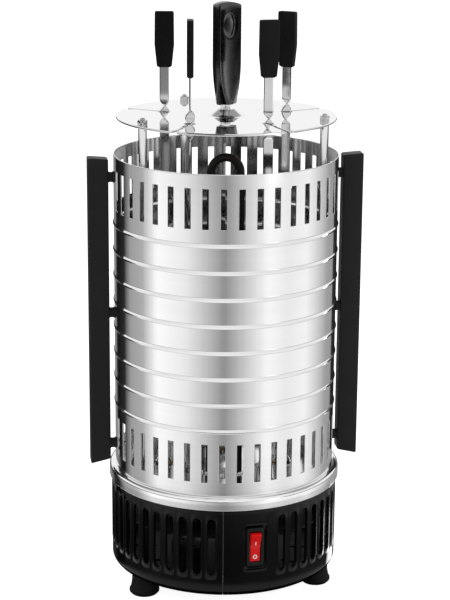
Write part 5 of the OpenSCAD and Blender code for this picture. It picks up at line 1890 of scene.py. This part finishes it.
@dataclass
class Handle(Dresser):
    """Black carry handle with a finger recess on each face, and the bright collar under it."""

    low: float = 387.2
    high: float = 465.4
    width: float = 20.0
    low_width: float = 17.5
    thick: float = 11.6
    low_face: float = 5.4
    face_margin: float = 2.4
    waist: float = 0.4
    crown: float = 2.4
    turn: float = 30.0
    bulge: float = 0.45
    recess: Opening = Opening(13.0, 22.6, (0.0, 448.0))
    collar: tuple[Corner, ...] = (
        (2.5, 383.6, 0), (3.3, 383.6, 0.2), (3.3, 384.5, 0.2), (2.9, 384.7, 0.1), (2.9, 385.0, 0.1),
        (3.3, 385.2, 0.2), (3.3, 387.2, 0), (2.5, 387.2, 0))

    def climb(self, z: float) -> float:
        """How far a height is up the part that widens, from 0 to 1."""
        return min(1.0, (z - self.low) / ((self.high - self.low) * self.waist))

    def half_width(self, z: float) -> float:
        """Half the handle's width at a height."""
        return (self.low_width + (self.width - self.low_width) * self.climb(z)) / 2

    def half_face(self, z: float) -> float:
        """Half the width of the front face at a height."""
        share = self.climb(z) * (2 - self.climb(z))
        return (self.low_face + (self.width - self.face_margin - self.low_face) * share) / 2

    def crown_drop(self, x: float) -> float:
        """How far the top is below its middle at a distance from it."""
        radius = (self.width ** 2 / 4 + self.crown ** 2) / (2 * self.crown)
        return radius - math.sqrt(radius * radius - x * x)

    def section(self, z: float) -> list[Flat]:
        """The outline at a height: a crowned face, a rounded edge, the side, and so round.

        Args:
            z: The height.

        Returns:
            The outline's points, anticlockwise.
        """
        wide, face, half = self.half_width(z), self.half_face(z), self.thick / 2
        edge = half - min(wide - face, half - 0.4)
        across = [(face * k / 4, half - self.bulge * (k / 4) ** 2) for k in range(-3, 4)]
        low = half - self.bulge
        return filleted([(-face, -low, 0.4), *((x, -y, 0) for x, y in across), (face, -low, 0.4),
                         (wide, -edge, 0.4), (wide, edge, 0.4), (face, low, 0.4),
                         *((x, y, 0) for x, y in reversed(across)), (-face, low, 0.4), (-wide, edge, 0.4),
                         (-wide, -edge, 0.4)], 3)

    def body(self) -> bpy.types.Mesh:
        """The handle's body before its recesses are cut: lofted sections and a crowned top.

        Returns:
            The mesh, not yet turned.
        """
        plan = Plan()
        rows = [plan.add((x, y, self.low) for x, y in inset(self.section(self.low), 0.3))]
        rows.append(plan.add((x, y, self.low + 0.1) for x, y in inset(self.section(self.low), 0.1)))
        stop = self.low + (self.high - self.low) * self.waist
        for z in [*spaced(self.low + 0.8, stop, 9), *spaced(stop, self.high - 6, 5)[1:]]:
            rows.append(plan.add((x, y, z) for x, y in self.section(z)))
        for depth, drop in ((0.0, 0.9), (0.05, 0.5), (0.14, 0.2), (0.26, 0.05), (0.36, 0.0)):
            ring = inset(self.section(self.high), depth)
            rows.append(plan.add((x, y, self.high - self.crown_drop(x) - drop) for x, y in ring))
        plan.loft(rows)
        ring = rows[-1][-4:] + rows[-1][:-4]
        half = len(ring) // 2
        plan.bridge(ring[:half], ring[half:][::-1], closed=False)
        plan.faces.append(tuple(reversed(rows[0])))
        return plan.mesh("carry_grip_body", MATERIALS["handle"], 40)

    def cutter(self, side: int) -> Plan:
        """Oval dished finger recess, to be cut out.

        Args:
            side: -1 for the front, 1 for the back.

        Returns:
            The plan, at its place.
        """
        plan, half = Plan(), self.thick / 2
        rings = []
        middle = self.recess.middle[1]
        for share, depth in ((1.03, -1.0), (1.01, 0.1), (0.985, 0.5), (0.96, 1.1), (0.93, 2.0), (0.88, 2.7),
                             (0.8, 3.1), (0.5, 3.35), (0.15, 3.4)):
            rings.append(plan.add((x * self.recess.width / 2 * share, side * (half - depth),
                                   middle + y * self.recess.height / 2 * share) for x, y in circle(1.0, 48)))
        plan.loft(rings, capped=True)
        return plan

    def build(self) -> None:
        """Makes the handle and its collar."""
        body = show("carry_grip", self.body())
        for side in (-1, 1):
            tool = self.cutter(side).piece(f"recess_tool_{side}", MATERIALS["handle"])
            cut = body.modifiers.new("recess", "BOOLEAN")
            cut.operation, cut.solver, cut.object = "DIFFERENCE", "EXACT", tool
            data = bpy.data.meshes.new_from_object(
                body.evaluated_get(bpy.context.evaluated_depsgraph_get()))
            body.modifiers.clear()
            body.data = data
            bpy.data.objects.remove(tool)
        body.data.transform(Matrix.Rotation(math.radians(self.turn), 4, "Z"))
        finish_mesh(body.data, 38)
        self.dress(body, "grill", "gloss_black", "carry_handle")
        collar = lathe(filleted(self.collar, 3), 64, closed=True)
        self.dress(collar.piece("handle_ferrule", MATERIALS["chrome"], 40), "grill", "bright_steel",
                   "handle_collar")


@dataclass
class Skewers(Dresser):
    """Five flat twisted blades with black grips."""

    ring: float = SKEWER_RING
    turns: tuple[float, ...] = (3.0, 92.0, 14.0, -28.0, 60.0)
    low: float = 94.1
    high: float = 442.2
    width: float = 7.5
    thick: float = 1.5
    point: float = 5.0
    twist: Flat = (366.7, 388.7)
    hem: float = 0.35
    grip_low: float = 413.8
    grip_height: float = 42.6
    grip_width: float = 15.2
    grip_low_width: float = 11.6
    grip_thick: float = 5.0
    collar: tuple[Corner, ...] = ((-4.6, -0.5, 0.3), (4.6, -0.5, 0.3), (4.6, 1.5, 0.3), (-4.6, 1.5, 0.3))

    def place(self, k: int) -> Matrix:
        """Where skewer k stands, turned as its blade is."""
        return (Matrix.Translation(spot(self.ring, skewer_azimuth(k)))
                @ Matrix.Rotation(math.radians(self.turns[k]), 4, "Z"))

    def strip(self) -> Plan:
        """The flat blade before its twist: rounded edges, and a point at the lower end.

        Returns:
            The plan, along the z axis.
        """
        plan = Plan()
        half, thin, edge = self.width / 2, self.thick / 2, 0.35
        flat = half - edge - self.hem
        corners = filleted([(-half, -thin, edge), (-flat, -thin, 0), (flat, -thin, 0), (half, -thin, edge),
                            (half, thin, edge), (flat, thin, 0), (-flat, thin, 0), (-half, thin, edge)], 2)
        point = ((0.0, 0.06), (1.2, 0.3), (3.0, 0.66), (self.point, 1.0))
        heights = [(self.low + z, share) for z, share in point]
        heights += [(z, 1.0) for z in spaced(self.low + 30, self.twist[0] - 2, 8)]
        heights += [(z, 1.0) for z in spaced(*self.twist, 56)]
        heights += [(z, 1.0) for z in spaced(self.twist[1] + 2, self.high, 4)]
        plan.loft([plan.add((x * share, y, z) for x, y in corners) for z, share in heights], capped=True)
        return plan

    def grip(self) -> Plan:
        """Flat black grip, widest under its middle and narrower at its lower end.

        Returns:
            The plan, lying in the x-y plane.
        """
        low, wide, high = self.grip_low_width / 2, self.grip_width / 2, self.grip_height
        waist = high * 0.4
        outline = filleted([(-low, 0, 1.2), (low, 0, 1.2), (wide, waist, 9.0), (wide - 0.25, high, 1.3),
                            (-wide + 0.25, high, 1.3), (-wide, waist, 9.0)], 4)
        form = plate(outline, self.grip_thick, 0.75, 3)
        return form.join(plate(filleted(self.collar, 2), 3.0, 0.3, 2))

    def build(self) -> None:
        """Makes each blade by the twist tree and each grip from its outline."""
        upright = Matrix.Translation((0, 0, self.grip_low)) @ laid_out()
        for k in range(SKEWERS):
            number, place = k + 1, self.place(k)
            start = self.strip().mesh("blade_strip", MATERIALS["blade"])
            blade = FORMS["twist"].run(f"skewer_strip_{number}", start, 40, twist_start=self.twist[0] * MM,
                                       twist_end=self.twist[1] * MM, turns=1.0, material=MATERIALS["blade"])
            shift = place.copy()
            shift.translation *= MM
            blade.data.transform(shift)
            self.dress(blade, f"skewer_{number}", "bright_steel", f"skewer_blade_{number}")
            grip = Plan().join(self.grip(), place @ upright).piece(f"grip_{number}", MATERIALS["grip"], 40)
            self.dress(grip, f"skewer_{number}", "satin_black", f"skewer_grip_{number}")


@dataclass
class Heater(Dresser):
    """Black hairpin heater."""

    bend: float = 11.4
    rod: float = 3.25
    low: float = 82.0
    bend_height: float = 333.95

    def build(self) -> None:
        """Makes the hairpin as one bar along its path."""
        path = [Vector((-self.bend, 0, z)) for z in spaced(self.low, self.bend_height, 6)]
        path += [Vector((-self.bend * math.cos(a), 0, self.bend_height + self.bend * math.sin(a)))
                 for a in spaced(0, math.pi, 28)[1:-1]]
        path += [Vector((self.bend, 0, z)) for z in spaced(self.bend_height, self.low, 6)]
        made = sweep(path, self.rod, 28).piece("hairpin_heater", MATERIALS["heater"], 40)
        self.dress(made, "grill", "heater_black", "heater_rod")


PLAIN_NODES = {
    "zinc": ("foot_nuts", "floor_screws", "gear_retainer", "motor_screws", "heater_screws",
             "side_bar_screws", "handle_stud", "handle_nut", "gear_hub"),
    # The dark finishes of the spacers, gear plate, gears and motor are painted shade for the inside of the
    # base.
    "dark_zinc": ("lower_spacers", "gear_plate", "upper_spacers"),
    "moulded": ("base_floor", "cord_grommet", "terminal_block"),
    "bronze": ("lower_bushes", "upper_bushes"),
    "nylon": ("middle_gear", "motor_pinion", *(f"skewer_gear_{k}" for k in range(1, SKEWERS + 1))),
    "motor": ("motor_body",),
    "pan": ("heater_flange",),
    "ceramic": ("heater_sleeves",),
    "chrome": ("heater_terminals", "motor_shaft", *(f"spindle_{k}" for k in range(1, SKEWERS + 1))),
}


def dress_plain_nodes(nodes: dict[str, bpy.types.Object]) -> None:
    """Gives the CAD nodes that stay as they are their finish.

    Args:
        nodes: The frame's CAD nodes by name.
    """
    for finish, names in PLAIN_NODES.items():
        for name in names:
            data = nodes[name].data
            data.materials.clear()
            data.materials.append(MATERIALS[finish])
            LOG.info("%s has the finish %s", name, finish)


def main() -> None:
    """Loads the frame, makes the studio and each sub-assembly, and gives the plain CAD nodes their finish."""
    logging.basicConfig(level=logging.INFO, format="%(name)s: %(message)s")
    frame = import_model()
    EFFECTS.update(grain=grain_effect(), drawn=drawn_effect(), handling=handling_effect(), rub=wear_and_highlight_effect(),
                   seam=seam_highlight_effect())
    MATERIALS.update({key: finish.material() for key, finish in FINISHES.items()})
    FORMS.update(ring=ring_tree(), twist=twist_tree())
    Studio().build()
    for part in (Base(), Pan(), Drum(), Bars(), Top(), Handle(), Skewers(), Heater(), Switch()):
        part.build()
    dress_plain_nodes(frame["nodes"])


if __name__ == "__main__":
    main()
